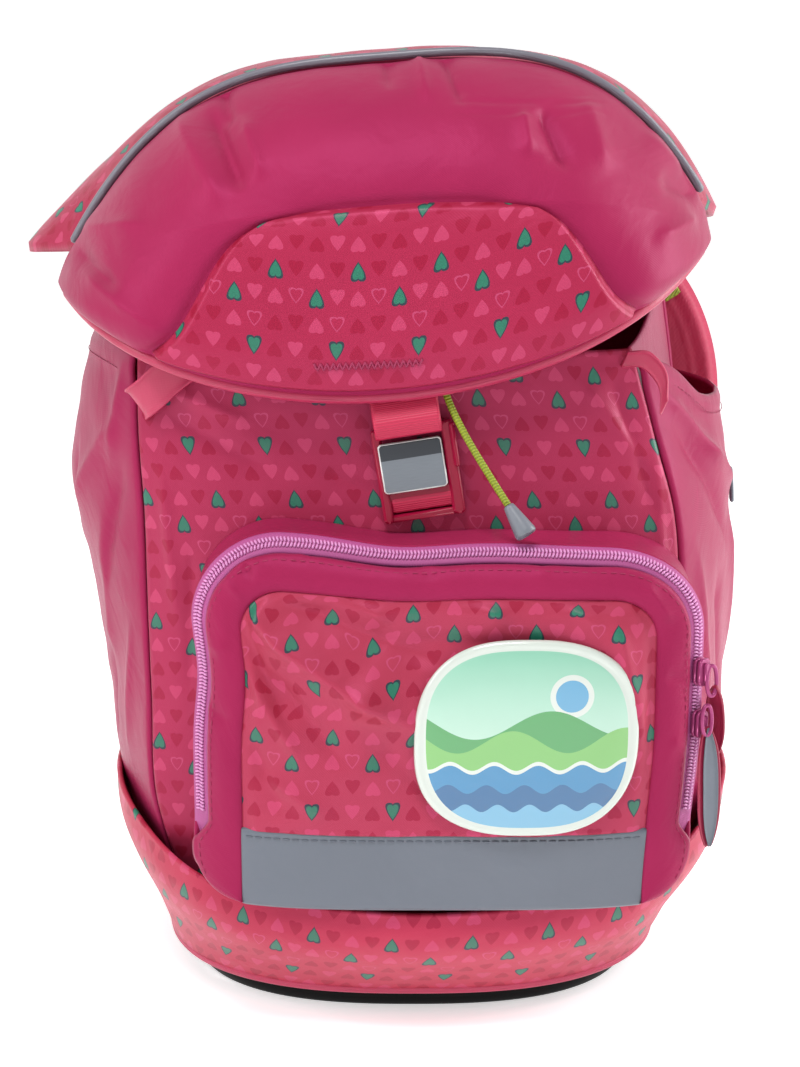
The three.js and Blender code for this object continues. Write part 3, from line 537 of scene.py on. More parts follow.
# %% Folds
def folds(rows, x, z):
    """Sum of ridges along lines. Each is its height times exp(0.4 - 1.8 √(d² + 0.05)), with d the
    distance from its line in widths, and it fades at both ends."""
    total = np.zeros_like(np.asarray(x, float))
    for x0, z0, x1, z1, width, height in rows:
        dx, dz = x1 - x0, z1 - z0
        length = math.hypot(dx, dz)
        t = ((x - x0) * dx + (z - z0) * dz) / length ** 2
        away = np.abs((x - x0) * dz - (z - z0) * dx) / length
        fade = ease((t + 0.15) / 0.35) * ease((1.2 - t) / 0.45)
        crest = np.exp(0.4 - 1.8 * np.sqrt((away / width) ** 2 + 0.05))
        total = total + height * crest * fade
    return total


def unevenness(x, z, wave, seed):
    """Mean of seven plane waves near one wavelength, with directions and phases set by the seed."""
    count = 7
    pick = np.random.default_rng(seed)
    angle, phase = pick.uniform(0, 2 * np.pi, (2, count))
    rate = 2 * np.pi / (wave * pick.uniform(0.7, 1.5, count))
    return sum(
        np.sin(rate[k] * (x * np.cos(angle[k]) + z * np.sin(angle[k])) + phase[k]) for k in range(count)
    ) / count


print("sample of the unevenness:", round(float(unevenness(10.0, 20.0, 40.0, 1)), 3))

# %% [markdown]
# ## Materials
# Colours are written as the hex values seen on a screen, and one function turns them into the linear
# numbers that light is worked out with. One small function adds a node with its settings and links.

# %% Helpers for materials
def colour(text):
    """Linear red, green, blue and alpha of an sRGB hex colour."""
    parts = [int(text[k:k + 2], 16) / 255 for k in (1, 3, 5)]
    return (*[p / 12.92 if p <= 0.04045 else ((p + 0.055) / 1.055) ** 2.4 for p in parts], 1.0)


def feed(socket, value):
    """Gives an input a number or a colour, or a link from a socket or from a node's first output."""
    if isinstance(value, bpy.types.Node):
        value = next(output for output in value.outputs if output.enabled)
    if isinstance(value, bpy.types.NodeSocket):
        socket.id_data.links.new(value, socket)
    else:
        socket.default_value = value


def add_node(tree, kind, *values, **settings):
    """Adds a node. A second word of its kind is its operation, or the type of data that it mixes. The
    values fill its inputs in order, or by name where they are given as a dictionary."""
    kind, *choice = kind.split()
    node = tree.nodes.new("ShaderNode" + kind)
    if choice:
        setattr(node, "data_type" if kind == "Mix" else "operation", choice[0])
    for key, value in settings.items():
        setattr(node, key, value)
    inputs = [socket for socket in node.inputs if socket.enabled]
    pairs = list(zip(inputs, values))
    if values and isinstance(values[0], dict):
        pairs = [(node.inputs[key], value) for key, value in values[0].items()]
    for socket, value in pairs:
        feed(socket, value)
    return node


def material(name, base, roughness, **sockets):
    """A new material: its one shader with values on its own sockets, and what adds nodes to it."""
    look = bpy.data.materials.new(name)
    look.use_nodes = True
    look.diffuse_color = colour(base)
    shader = look.node_tree.nodes["Principled BSDF"]
    for key, value in dict(Base_Color=colour(base), Roughness=roughness, **sockets).items():
        feed(shader.inputs[key.replace("_", " ")], value)
    return look, shader, functools.partial(add_node, look.node_tree)


# Depths of the cloth's soft unevenness and of its creases.
UNEVEN_MM, CREASES_MM = 1.6, 1.6


def cloth_place(add):
    """Lengths across and along the cloth in metres, from the piece's flat layout."""
    place = add("UVMap", uv_map="cloth").outputs["UV"]
    return place, add("SeparateXYZ", place).outputs


def weave(add, shader, threads_mm, depth):
    """Plain weave: two crossing waves, one thread apart, as a bump. Over it lie soft unevenness some
    20 mm across, and thin creases some 60 mm apart."""
    place, parts = cloth_place(add)
    rate = 2 * math.pi * 1000 / threads_mm
    warp = add("Math SINE", add("Math MULTIPLY", parts["X"], rate))
    weft = add("Math SINE", add("Math MULTIPLY", parts["Y"], rate))
    cloth = add("Math MULTIPLY", warp, weft)
    fine = add("Bump", {"Height": cloth, "Strength": 0.35, "Distance": depth / 1000})
    noise = add("TexNoise", {"Vector": place, "Scale": 45.0, "Detail": 3.0, "Distortion": 0.4})
    broad = add("Bump", {"Height": noise, "Strength": 0.6, "Distance": UNEVEN_MM / 1000, "Normal": fine})
    ridges = add("TexNoise", {
        "Vector": place, "Scale": 17.0, "Detail": 1.5, "Roughness": 0.4, "Distortion": 0.6,
    }, noise_type="RIDGED_MULTIFRACTAL")
    creased = add("Bump", {
        "Height": ridges, "Strength": 0.5, "Distance": CREASES_MM / 1000, "Normal": broad,
    })
    feed(shader.inputs["Normal"], creased)
    return place, parts


print("screen white in linear light:", colour("#FFFFFF"))

# %% [markdown]
# ### Printed polyester
# The printed cloth is polyester with a coated back. The print is a staggered grid of small hearts on
# coral pink: light ones, dark ones, open ones, and a green one every four columns. A chart holds one
# mark for each heart of the repeat, and the shader looks its cell up in that chart. A heart is drawn by
# the rule a² + (1.15 b + 0.05 − 0.5 √a)² < 1, with b up and a across, a widened toward the point so
# that the heart's sides are nearly straight. A mark pointing up is turned over.

# %% Printed cloth
PRINT_COLUMN, PRINT_ROW = 7.0, 9.2
PRINT_CHART = [
    "light up", "dark down", "green up", "dark down",
    "green up", "light down", "light up", "open down",
    "light up", "open down", "dark up", "dark down",
    "dark up", "green down", "dark up", "light down",
    "dark up", "light down", "light up", "dark down",
]
PRINT_COLUMNS, PRINT_ROWS = 4, 5
PRINT_CELLS = PRINT_COLUMNS * PRINT_ROWS
INKS = {"light": "#BC4568", "dark": "#880A24", "green": "#00735A", "open": "#B84C70"}
# Whole cells that are added, so that the count of columns and rows never falls below zero.
PRINT_START = 400


def printed_cloth(name, base, deeper, shift):
    """Printed polyester, with its print shifted on the cloth by a share of a cell."""
    sheen = colour("#FF8CC0")
    look, shader, add = material(name, base, 0.42, Specular_Tint=sheen, Specular_IOR_Level=0.6)
    place, parts = weave(add, shader, 0.9, 0.05)
    x = add("Math ADD", add("Math MULTIPLY", parts["X"], 1000 / PRINT_COLUMN), shift[0] + PRINT_START)
    y = add("Math ADD", add("Math MULTIPLY", parts["Y"], 1000 / PRINT_ROW), shift[1] + PRINT_START)
    column = add("Math MODULO", add("Math FLOOR", x), PRINT_COLUMNS)
    row = add("Math SUBTRACT", PRINT_ROWS - 1, add("Math MODULO", add("Math FLOOR", y), PRINT_ROWS))
    cell = add("Math ADD", add("Math MULTIPLY_ADD", row, PRINT_COLUMNS, column), 0.5)
    cell = add("Math DIVIDE", cell, PRINT_CELLS)

    def chart(values):
        """A ramp of even steps, with one colour for each cell of the repeat."""
        ramp = add("ValToRGB", {"Fac": cell})
        ramp.color_ramp.interpolation = "CONSTANT"
        stops = ramp.color_ramp.elements
        for k, value in enumerate(values):
            stop = stops[k] if k < 2 else stops.new(k / PRINT_CELLS)
            stop.position = k / PRINT_CELLS
            stop.color = value
        return ramp

    marks = [mark.split() for mark in PRINT_CHART]
    ink = chart([colour(INKS[kind]) for kind, _ in marks])
    form = chart([(way == "up", kind == "green", kind == "open", 1) for kind, way in marks])
    form = add("SeparateXYZ", form).outputs
    up, green, hollow = form["X"], form["Y"], form["Z"]
    across = add("Math MULTIPLY", add("Math SUBTRACT", add("Math FRACT", x), 0.5), PRINT_COLUMN)
    along = add("Math MULTIPLY", add("Math SUBTRACT", add("Math FRACT", y), 0.5), PRINT_ROW)
    along = add("Math MULTIPLY", along, add("Math MULTIPLY_ADD", up, -2.0, 1.0))
    a = add("Math DIVIDE", add("Math ABSOLUTE", across), add("Math MULTIPLY_ADD", green, 0.05, 2.5))
    b = add("Math DIVIDE", along, add("Math MULTIPLY_ADD", green, 0.8, 2.85))
    a = add("Math MULTIPLY", a, add("Math MULTIPLY_ADD", b, -0.45, 1.22))
    rise = add("Math MULTIPLY_ADD", add("Math SQRT", a), -0.5, 0.05)
    rise = add("Math MULTIPLY_ADD", b, 1.15, rise)
    heart = add("Math ADD", add("Math POWER", a, 2.0), add("Math MULTIPLY", rise, rise))
    inside = add("Math LESS_THAN", heart, 1.0)
    rim = add("Math MULTIPLY", inside, add("Math GREATER_THAN", heart, 0.62))
    inner = add("Math SUBTRACT", 1.0, rim)
    covered = add("Math MULTIPLY", inside, add("Math SUBTRACT", 1.0, add("Math MULTIPLY", hollow, inner)))
    strength = add("Math MULTIPLY", covered, add("Math MULTIPLY_ADD", green, 0.38, 0.6))
    ground = add("TexNoise", {"Vector": place, "Scale": 14.0, "Detail": 2.0})
    shade = add("Mix RGBA", ground, colour(base), colour(deeper))
    shade = add("Mix RGBA", strength, shade, ink)
    edge = add("Math MULTIPLY", rim, green)
    shade = add("Mix RGBA", edge, shade, colour("#143C40"))
    feed(shader.inputs["Base Color"], shade)
    return look


print_front = printed_cloth("printed polyester, body", "#A4304F", "#942642", (0.1, 0.35))
print_lid = printed_cloth("printed polyester, lid", "#A12745", "#94203C", (0.4, 0.0))
print_pocket = printed_cloth("printed polyester, pocket", "#A83B4F", "#9C3046", (0.2, 0.6))
print_band = printed_cloth("printed polyester, foot band", "#AF3348", "#A42B40", (0.0, 0.2))
print("hearts in the print's repeat:", len(PRINT_CHART))

# %% [markdown]
# ### Plain cloths and webbing
# The plain parts are nylon with a satin face: fine threads, long soft highlights. The webbing is
# woven with ribs across it, 0.7 mm apart. Reflective tape is grey with glass beads.

# %% Plain cloths
def plain_cloth(name, base, shade_to, roughness, threads_mm=0.8, depth=0.05, **sockets):
    """Woven cloth of one colour, with a faint drift of its shade."""
    look, shader, add = material(name, base, roughness, **sockets)
    place, _ = weave(add, shader, threads_mm, depth)
    drift = add("TexNoise", {"Vector": place, "Scale": 18.0, "Detail": 4.0})
    tint = add("Mix RGBA", drift, colour(base), colour(shade_to))
    feed(shader.inputs["Base Color"], tint)
    return look


def ribbed(name, base, shade_to, rib_mm, depth):
    """Webbing: rounded ribs across its length, as a wave of the lengthwise place. Its colour darkens toward
    shade_to in the rib valleys, as painted shade.
    """
    look, shader, add = material(name, base, 0.5)
    _, parts = cloth_place(add)
    rib = add("Math SINE", add("Math MULTIPLY", parts["Y"], 2 * math.pi * 1000 / rib_mm))
    raised = add("Bump", {"Height": rib, "Strength": 0.8, "Distance": depth / 1000})
    feed(shader.inputs["Normal"], raised)
    # Painted shade: the base colour darkens toward shade_to in the valleys between the ribs.
    valley = add("Math MULTIPLY_ADD", rib, -0.3, 0.3)
    feed(shader.inputs["Base Color"], add("Mix RGBA", valley, colour(base), colour(shade_to)))
    return look


nylon = plain_cloth("satin nylon", "#9C284F", "#8C2046", 0.4,
                    Specular_Tint=colour("#FF78C0"), Specular_IOR_Level=0.22)
piping_cloth = plain_cloth("nylon piping", "#B83056", "#A8284C", 0.4)
strap_cloth = plain_cloth("padded strap knit", "#B01E48", "#A01A40", 0.6, 1.6, 0.2)
# Its second colour, #A0183C, is painted shade in the rib valleys.
webbing = ribbed("ribbed webbing", "#BE1E48", "#A0183C", 0.7, 0.05)
puller_cloth = plain_cloth("puller webbing", "#981C40", "#8C1838", 0.5)
# Its second colour, #56640A, is painted shade in the rib valleys.
lime_cord = ribbed("elastic cord, braided", "#8E9C18", "#56640A", 1.1, 0.12)
thread = plain_cloth("sewing thread", "#9C2450", "#8C1E46", 0.6)
thread_grey = plain_cloth("grey sewing thread", "#5D636E", "#50555F", 0.6)
reflective = plain_cloth("reflective tape", "#656B76", "#5C626C", 0.45, 0.5, 0.02)
silver = plain_cloth("silver reflective piping", "#716F78", "#64626C", 0.32, 0.5, 0.02)
zip_tape = plain_cloth("zip tape", "#B0508C", "#A0447E", 0.6, 0.9, 0.1)
print("materials so far, with the frame's own:", len(bpy.data.materials))

# %% [markdown]
# ### Moulded plastic, metal and the badge
# The tray is black polypropylene with a fine spark-eroded grain. Buckle parts are pink acetal, smooth
# and a little glossy. The plate is brushed metal. The badge is a printed disc under a clear dome,
# with a plain picture of hills and water.

# %% Hard finishes
def moulded(name, base, roughness, grain_mm, depth, **sockets):
    """Moulded plastic with an even grain, as a noise of the grain's size."""
    look, shader, add = material(name, base, roughness, **sockets)
    place = add("TexCoord").outputs["Object"]
    grain = add("TexNoise", {"Vector": place, "Scale": 1000 / grain_mm, "Detail": 2.0})
    raised = add("Bump", {"Height": grain, "Strength": 0.5, "Distance": depth / 1000})
    feed(shader.inputs["Normal"], raised)
    wear = add("TexNoise", {"Vector": place, "Scale": 25.0, "Detail": 3.0})
    rough = add("MapRange", {"Value": wear, "To Min": roughness - 0.07, "To Max": roughness + 0.09})
    feed(shader.inputs["Roughness"], rough)
    return look


tray_plastic = moulded("black moulded polypropylene", "#030303", 0.5, 0.8, 0.06,
                       Specular_IOR_Level=0.15)
buckle_plastic = moulded("pink moulded acetal", "#8E0A30", 0.3, 0.6, 0.015, Specular_IOR_Level=0.3)
slider_metal = moulded("painted zinc slider", "#A03C70", 0.3, 0.6, 0.01, Metallic=0.3)
teeth_plastic = moulded("polyester zip coil", "#D088BC", 0.35, 0.5, 0.01)
cap_plastic = moulded("grey soft plastic", "#70747C", 0.42, 0.7, 0.03)
plate_rim = moulded("pale metal rim", "#D6D3D2", 0.3, 0.5, 0.01, Metallic=0.5)

# Where the plate's dark band begins, in mm above the buckle's middle.
DARK_BAND_FOOT = 6.0


def brushed_plate():
    """Brushed steel with a dark upper band: the long grain is a noise stretched sideways."""
    look, shader, add = material("brushed steel plate", "#76828C", 0.4, Metallic=0.3)
    place, parts = cloth_place(add)
    upper = add("Math GREATER_THAN", parts["Y"], DARK_BAND_FOOT / 1000)
    long_grain = add("Mapping", {"Vector": place, "Scale": (200.0, 5000.0, 1.0)})
    brushed = add("TexNoise", {"Vector": long_grain, "Scale": 1.0, "Detail": 2.0})
    lower = add("Mix RGBA", brushed, colour("#7A8188"), colour("#6A7178"))
    feed(shader.inputs["Base Color"], add("Mix RGBA", upper, lower, colour("#33373D")))
    return look


plate_metal = brushed_plate()
print("materials with the hard ones:", len(bpy.data.materials))

# %% [markdown]
# ## The drawcord
# A round elastic cord comes out of its eyelet beside the buckle and hangs over the front pocket, held
# down by a tapered end. Its route is the same as in the part's source, in metres.

# %% Drawcord, its end and its eyelet
CORD_ROUTE = [
    (0.0187, -0.0714, 0.2405),
    (0.0199, -0.0720, 0.2340),
    (0.0227, -0.0747, 0.2270),
    (0.0282, -0.0792, 0.2170),
    (0.0352, -0.0837, 0.2060),
    (0.0412, -0.0877, 0.1970),
]
cord_path = spread(np.array(CORD_ROUTE) * 1000 - BAG_ORIGIN, 24)
cord_length = float(lengths(cord_path)[-1]) / 1000
drawcord = tube("drawcord_braid", cord_path, CORD / 2, lime_cord, up=(1.0, 0.0, 0.3),
                replaced=["drawcord"])
print("cord length in mm:", round(cord_length * 1000, 1))


def cord_end():
    """A tapered end: a circle carried along the cord's last direction, its radius from a short table
    of distance and radius."""
    aim = unit(cord_path[-1] - cord_path[-3])
    distance = np.array([0.0, 0.3, 1.2, 6.0, 10.5, 11.7, 12.2, 12.3, 11.0])
    radius = np.array([1.5, 1.9, 2.1, 3.0, 3.8, 3.8, 3.3, 2.2, 1.8])
    path = cord_path[-1] + aim * (GAP + distance[:, None])
    side = unit(np.cross(aim, [0.0, 0.0, 1.0]))
    lifted = np.cross(side, aim)
    angle = np.linspace(0, 2 * np.pi, CAP_COUNT, endpoint=False)
    circle = np.cos(angle)[:, None] * side + np.sin(angle)[:, None] * lifted
    points = (path[:, None] + circle[None] * radius[:, None, None]).reshape(-1, 3)
    faces = rings(len(distance), CAP_COUNT)
    return plain_body("cord_end", points, faces, cap_plastic, ["cord_end_cap"])


cord_cap = cord_end()

# %% [markdown]
# ## Lid
# The lid is a padded hood. Its front is plain satin cloth round a printed inset, its top is printed,
# and a silver piping marks the ridge between them. It is laid out as sections from the front edge
# over the ridge to the back seam, because each of those can be read off as a simple arch.

# %% Lid surface and the inset's seam
def lid_point(across, along):
    """Arch of a section: a hump of power p across it, on a chord between its two ends."""
    def row(column):
        """One size of the section at this place."""
        return smooth(LID, along, column)

    side = np.clip(np.abs(2 * across - 1), 0, 1.02)
    power = lerp(row("powerL"), row("powerR"), ease(across))
    hump, reach = 1 - side ** power, 1 - side ** row("wrap")
    return vector(
        HALF_WIDTH * lerp(row("left"), row("right"), across),
        BODY_DEPTH * lerp(row("tipY"), row("midY"), reach),
        BAG_HEIGHT * (lerp(row("leftZ"), row("rightZ"), across) + row("rise") * hump),
    )


def inset_distance(across, along):
    """How far inside the inset's seam a place of the lid lies, in millimetres: the smallest of its
    distances to the left, right and upper seams, rounded at the corners."""
    at = np.clip(along, LID_INSET["at"][0], LID_INSET["at"][-1])
    left = (across - smooth(LID_INSET, at, "left")) * LID_ACROSS
    right = (smooth(LID_INSET, at, "right") - across) * LID_ACROSS
    top = (LID_INSET["at"][-1] - along) * LID_UP
    soft = 6.0
    return -soft * np.log(np.exp(-left / soft) + np.exp(-right / soft) + np.exp(-top / soft))


print("lid half way up at its middle, in mm:", lid_point(0.5, 0.5).round(1))

# %% [markdown]
# ### Front and top of the lid
# Both are foam under cloth. The front carries the puckers where it is sewn to the ridge and at its
# lower corners. They are drawn as a table of folds, because each is one short ridge or valley.

# %% Front and top of the lid
# Puckers of the lid: from one place to another in millimetres, with width and height.
LID_FOLDS = [
    (-57, 303, -68, 324, 4.5, -4.1),
    (-64, 298, -80, 322, 7.0, 3.0),
    (-50, 306, -56, 322, 4.0, 2.2),
    (-62, 322, -66, 334, 3.5, -2.4),
    (3, 345, 6, 330, 3.0, 1.9),
    (12, 345, 18, 329, 3.2, -2.2),
    (-8, 346, -7, 334, 3.5, -1.6),
    (45, 326, 53, 309, 4.5, -4.1),
    (38, 325, 40, 313, 4.0, 2.4),
    (60, 328, 66, 308, 7.0, 2.2),
    (-118, 277, -100, 268, 4.5, -3.0),
    (-116, 283, -92, 288, 5.0, 2.4),
    (-112, 271, -86, 256, 5.0, 2.2),
    (102, 296, 88, 302, 4.5, -3.0),
    (100, 288, 84, 284, 5.0, 2.4),
    (96, 304, 84, 316, 5.0, 1.6),
]


# The front and the top stop short of the ridge, where the silver piping lies, and of the ends.
LID_FRONT_END, LID_TOP_START, LID_ENDS = 0.988, 1.012, (0.015, 0.985)


def lid_front_lift(u, v, x, y, z):
    """Foam under the cloth: it swells between the ridge seam and the inset's seam, dips into both,
    and carries the puckers."""
    along, across = lerp(0, LID_FRONT_END, v), lerp(*LID_ENDS, u)
    away = -inset_distance(across, along)
    outside = ease(away / 2)
    below_ridge = (LID_FRONT_END - along) * LID_UP
    swell = 3.4 * outside * off_seam(np.maximum(away, 0), 14) * off_seam((1 - along) * LID_UP, 10)
    groove = -1.5 * bump(away, 0.5, 2.6) - 0.5 * bump(below_ridge, 0, 2.0)
    held = ease(below_ridge / 5)
    ends = off_seam(to_edge(across) * LID_ACROSS, 8)
    foot = off_seam(along * LID_UP, 5)
    loose = 0.45 * unevenness(x, z, 46.0, 3) + 0.25 * unevenness(x, z, 17.0, 4)
    crease = -0.35 * bump(z, 329.5 - 0.03 * x, 0.7) - 0.3 * bump(z, 325.5 - 0.02 * x, 0.7)
    crease = crease * ease((x - 10) / 12) * ease((72 - x) / 12)
    return (swell + (folds(LID_FOLDS, x, z) + loose) * outside * held + crease) * ends * foot + groove


lid_front = wall(
    "lid_front_cloth", lambda u, v: lid_point(lerp(*LID_ENDS, u), lerp(0, LID_FRONT_END, v)),
    0, -LID_PADDING, 210, 136, nylon, lid_front_lift, replaced=["lid_front"],
)


def lid_top_lift(u, v, x, y, z):
    """Foam under the printed top: a swell of half a wave from ridge to back seam, to the power 0.6."""
    seam = off_seam(v * LID_TOP_UP, 5)
    swell = 2.0 * np.sin(np.pi * np.clip(v, 0, 1)) ** 0.6
    return swell * seam + 0.8 * unevenness(x, y, 50.0, 8) + 0.3 * unevenness(x, y, 18.0, 9)


lid_top = wall(
    "lid_top_cloth", lambda u, v: lid_point(lerp(*LID_ENDS, u), lerp(LID_TOP_START, 2, v)),
    0, -LID_PADDING, 176, 96, print_lid, lid_top_lift, replaced=["lid_top"],
)
print("corners of the lid's front:", len(lid_front.data.vertices))

# %% [markdown]
# ### Inset and pipings
# The printed inset is sewn into the lid's front. It lies on the same surface, between the two sides
# of its own table. The pipings are round cords in cloth, along the ridge and along the front edge.

# %% Inset and pipings
def inset_span(v):
    """Place along the lid at a share of the inset's height, with its left and right seams there."""
    along = lerp(LID_INSET["at"][0], LID_INSET["at"][-1], v)
    return along, smooth(LID_INSET, along, "left"), smooth(LID_INSET, along, "right")


def inset_point(u, v):
    """The lid's own surface, from the inset's left seam to its right one."""
    along, left, right = inset_span(v)
    return lid_point(lerp(left, right, u), along)


def inset_lift(u, v, x, y, z):
    """The printed inset stands a little proud, and its border turns down into the seam."""
    _, left, right = inset_span(v)
    inside = np.maximum(np.minimum(to_edge(u) * (right - left) * LID_ACROSS, (1 - v) * INSET_UP), 0)
    loose = 0.35 * unevenness(x, z, 60.0, 5) + 0.12 * unevenness(x, z, 20.0, 6)
    return lerp(-2.4, 0.5, ease(inside / 3.5)) + loose * ease(inside / 12)


wall("lid_inset_cloth", inset_point, 1.6, 0.2, 160, 80, print_lid, inset_lift,
     replaced=["lid_inset"])


def lid_offset(across, along, distance):
    """A point at a distance outside the lid's surface, along its normal."""
    return lid_point(across, along) + normals(lid_point, across, along) * distance


ridge_at = np.linspace(0.017, 0.98, PIPING_COUNT)
ridge = lid_offset(ridge_at, np.full(PIPING_COUNT, 1.0), REFLECTIVE_PIPING / 2 + 0.6)
tube("lid_silver_piping", ridge, REFLECTIVE_PIPING / 2, silver,
     replaced=["lid_reflective_piping"])
edge_at = np.linspace(0.02, 0.98, PIPING_COUNT)
edge_line = lid_offset(edge_at, np.zeros(PIPING_COUNT), -LID_PADDING / 2)
edge_line = edge_line + unit(lid_point(edge_at, 0.0) - lid_point(edge_at, 0.05)) * (PIPING / 2 + 0.3)
tube("lid_edge_piping_cloth", edge_line, PIPING / 2 + 0.1, piping_cloth,
     replaced=["lid_edge_piping"])
print("ridge piping in mm:", round(float(lengths(ridge)[-1])))

# %% [markdown]
# ## Body walls
# The front wall is one printed panel, slightly bowed. The side walls are plain, and outside each lies
# a swelling stretch pocket whose rim slants down toward the back. Folds start at the lid's corners.

# %% Front and back walls
def body_row(z, column):
    """One size of the body's section at a height."""
    return smooth(BODY, z / BAG_HEIGHT, column)


def front_point(across, z):
    """Front wall at a height: a flat nose with rounded ends, by a fourth power across it."""
    side = 2 * across - 1
    return vector(
        HALF_WIDTH * (body_row(z, "lean") + side * body_row(z, "half")),
        BODY_DEPTH * lerp(body_row(z, "seamY"), body_row(z, "noseY"), 1 - np.abs(side) ** 4),
        z,
    )


FRONT_FOLDS = [
    (-84, 232, -58, 222, 4.0, 1.6),
    (-84, 222, -50, 205, 5.0, -1.2),
    (-88, 200, -84, 150, 3.5, 1.4),
    (-78, 175, -80, 120, 4.0, -1.2),
    (-40, 236, -20, 236, 5.0, 1.0),
    (60, 236, 84, 205, 4.5, 1.4),
    (72, 232, 90, 185, 4.0, -1.4),
    (88, 210, 92, 160, 3.5, 1.4),
    (-30, 205, -12, 196, 4.0, -1.0),
]


def front_lift(u, v, x, y, z):
    """Folds and a slight unevenness, from 1.5 mm in to 2.2 mm out, and none at the side seams."""
    edge = off_seam(to_edge(u) * FRONT_ACROSS, 3)
    loose = 0.5 * unevenness(x, z, 44.0, 11) + 0.18 * unevenness(x, z, 16.0, 12)
    return (np.clip(folds(FRONT_FOLDS, x, z) + loose, -1.5, 2.2)) * edge


FRONT_FOOT, FRONT_ACROSS = 0.055 * BAG_HEIGHT, 190.0
wall(
    "front_cloth", lambda u, v: front_point(u, lerp(FRONT_FOOT, WALL_TOP, v)),
    0, -CLOTH, 168, 176, print_front, front_lift, replaced=["front_panel"],
)


def back_point(u, v):
    """Back wall: level rows, as wide and as far back as the body's section at their height."""
    z = lerp(BAND_SIDE + GAP, BACK_TOP, v)
    return vector((2 * u - 1) * HALF_WIDTH * body_row(z, "backHalf"), BODY_DEPTH * body_row(z, "backY"), z)


wall("back_cloth", back_point, 0, CLOTH, 60, 60, nylon, replaced=["back_panel"])
print("front wall from", FRONT_FOOT, "to", round(WALL_TOP, 1), "mm")

# %% [markdown]
# ### Side panels and side pockets
# A side panel runs from the front seam to the back one with a small swell. The pocket over it is the
# same surface with a larger swell, read from the body's table, and with its own rim and folds.

# %% Side panels and side pockets
def side_point(side, toward, z, outset, swell_by):
    """Side wall: straight from the front seam to the back one, plus a swell of half a wave."""
    seam = HALF_WIDTH * (side * body_row(z, "lean") + body_row(z, "half")) + outset
    back = HALF_WIDTH * body_row(z, "backHalf") + outset
    swell = np.sin(np.pi * np.clip(toward, 0, 1)) ** 0.85
    start = BODY_DEPTH * body_row(z, "seamY") + CLOTH + 2 * GAP
    end = BODY_DEPTH * body_row(z, "backY") - CLOTH - GAP
    return vector(side * (lerp(seam, back, toward) + swell_by * swell), lerp(start, end, toward), z)


def side_pocket_point(side, toward, z):
    """Side pocket: the side wall set out by a cloth, with the swell that reaches the table's width."""
    middle = (side * body_row(z, "lean") + body_row(z, "half") + body_row(z, "backHalf")) / 2
    wide = body_row(z, "leftWide" if side < 0 else "rightWide")
    return side_point(side, toward, z, CLOTH + GAP, HALF_WIDTH * (wide - middle) - CLOTH - GAP)


# A side pocket's lengths on the cloth, and its folds, whose places are y and height in millimetres.
POCKET_ACROSS, POCKET_UP = 110.0, 150.0
SIDE_FOLDS = {
    "left": [
        (-52, 238, -44, 205, 5.0, 2.4),
        (-44, 215, -10, 180, 7.0, 2.6),
        (-50, 200, -30, 150, 5.0, -2.4),
        (-36, 178, -20, 118, 7.0, 2.2),
        (-10, 200, 10, 150, 6.0, -2.2),
        (-48, 140, -36, 92, 5.0, 1.8),
        (-22, 128, -8, 84, 6.0, -2.0),
        (20, 170, 30, 110, 7.0, 2.0),
    ],
    "right": [
        (-52, 230, -20, 196, 5.0, 2.6),
        (-46, 212, -14, 168, 6.0, -2.6),
        (-30, 205, 10, 182, 6.0, 2.2),
        (-48, 168, -34, 104, 5.0, 2.0),
        (-24, 152, -10, 92, 6.0, -2.2),
        (0, 170, 14, 110, 7.0, 2.2),
        (28, 160, 36, 100, 6.0, -1.8),
    ],
}


def tucked_foot(toward):
    """The walls' lower edge. It follows the band's edge down at the front corner, inside the band."""
    return BAND_SIDE + GAP - 45 * (1 - ease(toward / 0.45))


for side, name in ((-1, "left"), (1, "right")):
    def panel(u, v, side=side):
        """Side panel, from the walls' foot to a top that rises toward the back."""
        top = lerp(WALL_TOP, SIDE_TOP, ease(u))
        return side_point(side, u, lerp(tucked_foot(u), top, v), -GAP, 3)

    def pocket(u, v, side=side, name=name):
        """Side pocket, from the walls' foot to its slanting rim."""
        rim = smooth(SIDE_RIM, u, name) * WALL_TOP
        return side_pocket_point(side, u, lerp(tucked_foot(u), rim, v))

    def pocket_lift(u, v, x, y, z, name=name, side=side):
        """Folds and unevenness away from the seams, and a rolled hem just under the rim."""
        held = off_seam(to_edge(u) * POCKET_ACROSS, 5) * off_seam(v * POCKET_UP, 5)
        loose = 1.0 * unevenness(y, z, 48.0, 20 + side) + 0.35 * unevenness(y, z, 19.0, 24 + side)
        hem = 0.8 * bump(v, 0.975, 0.02)
        return (folds(SIDE_FOLDS[name], y, z) + loose) * held + hem

    wall(f"side_panel_{name}_cloth", panel, 0, -side * CLOTH, 40, 60, nylon,
         replaced=[f"side_panel_{name}"])
    wall(f"side_pocket_{name}_cloth", pocket, 0, -side * CLOTH, 100, 124, nylon,
         pocket_lift, replaced=[f"side_pocket_{name}"])
print("side walls end at", round(SIDE_TOP, 1), "mm behind")

# %% [markdown]
# ## Foot: band, piping and tray
# A printed band runs round the foot. Below its piping the black tray is moulded as one piece, and the
# bag stands on it.

# %% Band, piping and tray
BAND_UP = 40.0


def band_top(angle):
    """The band's upper edge: high at the sides, low in front, with a smooth step between."""
    frontness = np.maximum(-np.sin(angle), 0) ** 1.5
    return lerp(BAND_SIDE, BAND_FRONT, ease(frontness * 1.3))


def band_point(turn, v):
    """Plan of the band at a level: a rounded box by a power, deeper in front than behind."""
    angle = turn * 2 * np.pi + np.pi / 2
    c, s = np.cos(angle), np.sin(angle)
    share = 2 / smooth(BAND, v, "power")
    deep = np.where(s < 0, smooth(BAND, v, "front"), smooth(BAND, v, "back"))
    return vector(
        HALF_WIDTH * (smooth(BAND, v, "lean") + smooth(BAND, v, "half") * np.sign(c) * np.abs(c) ** share),
        BODY_DEPTH * deep * np.sign(s) * np.abs(s) ** share,
        lerp(BAND_START, band_top(angle), v),
    )


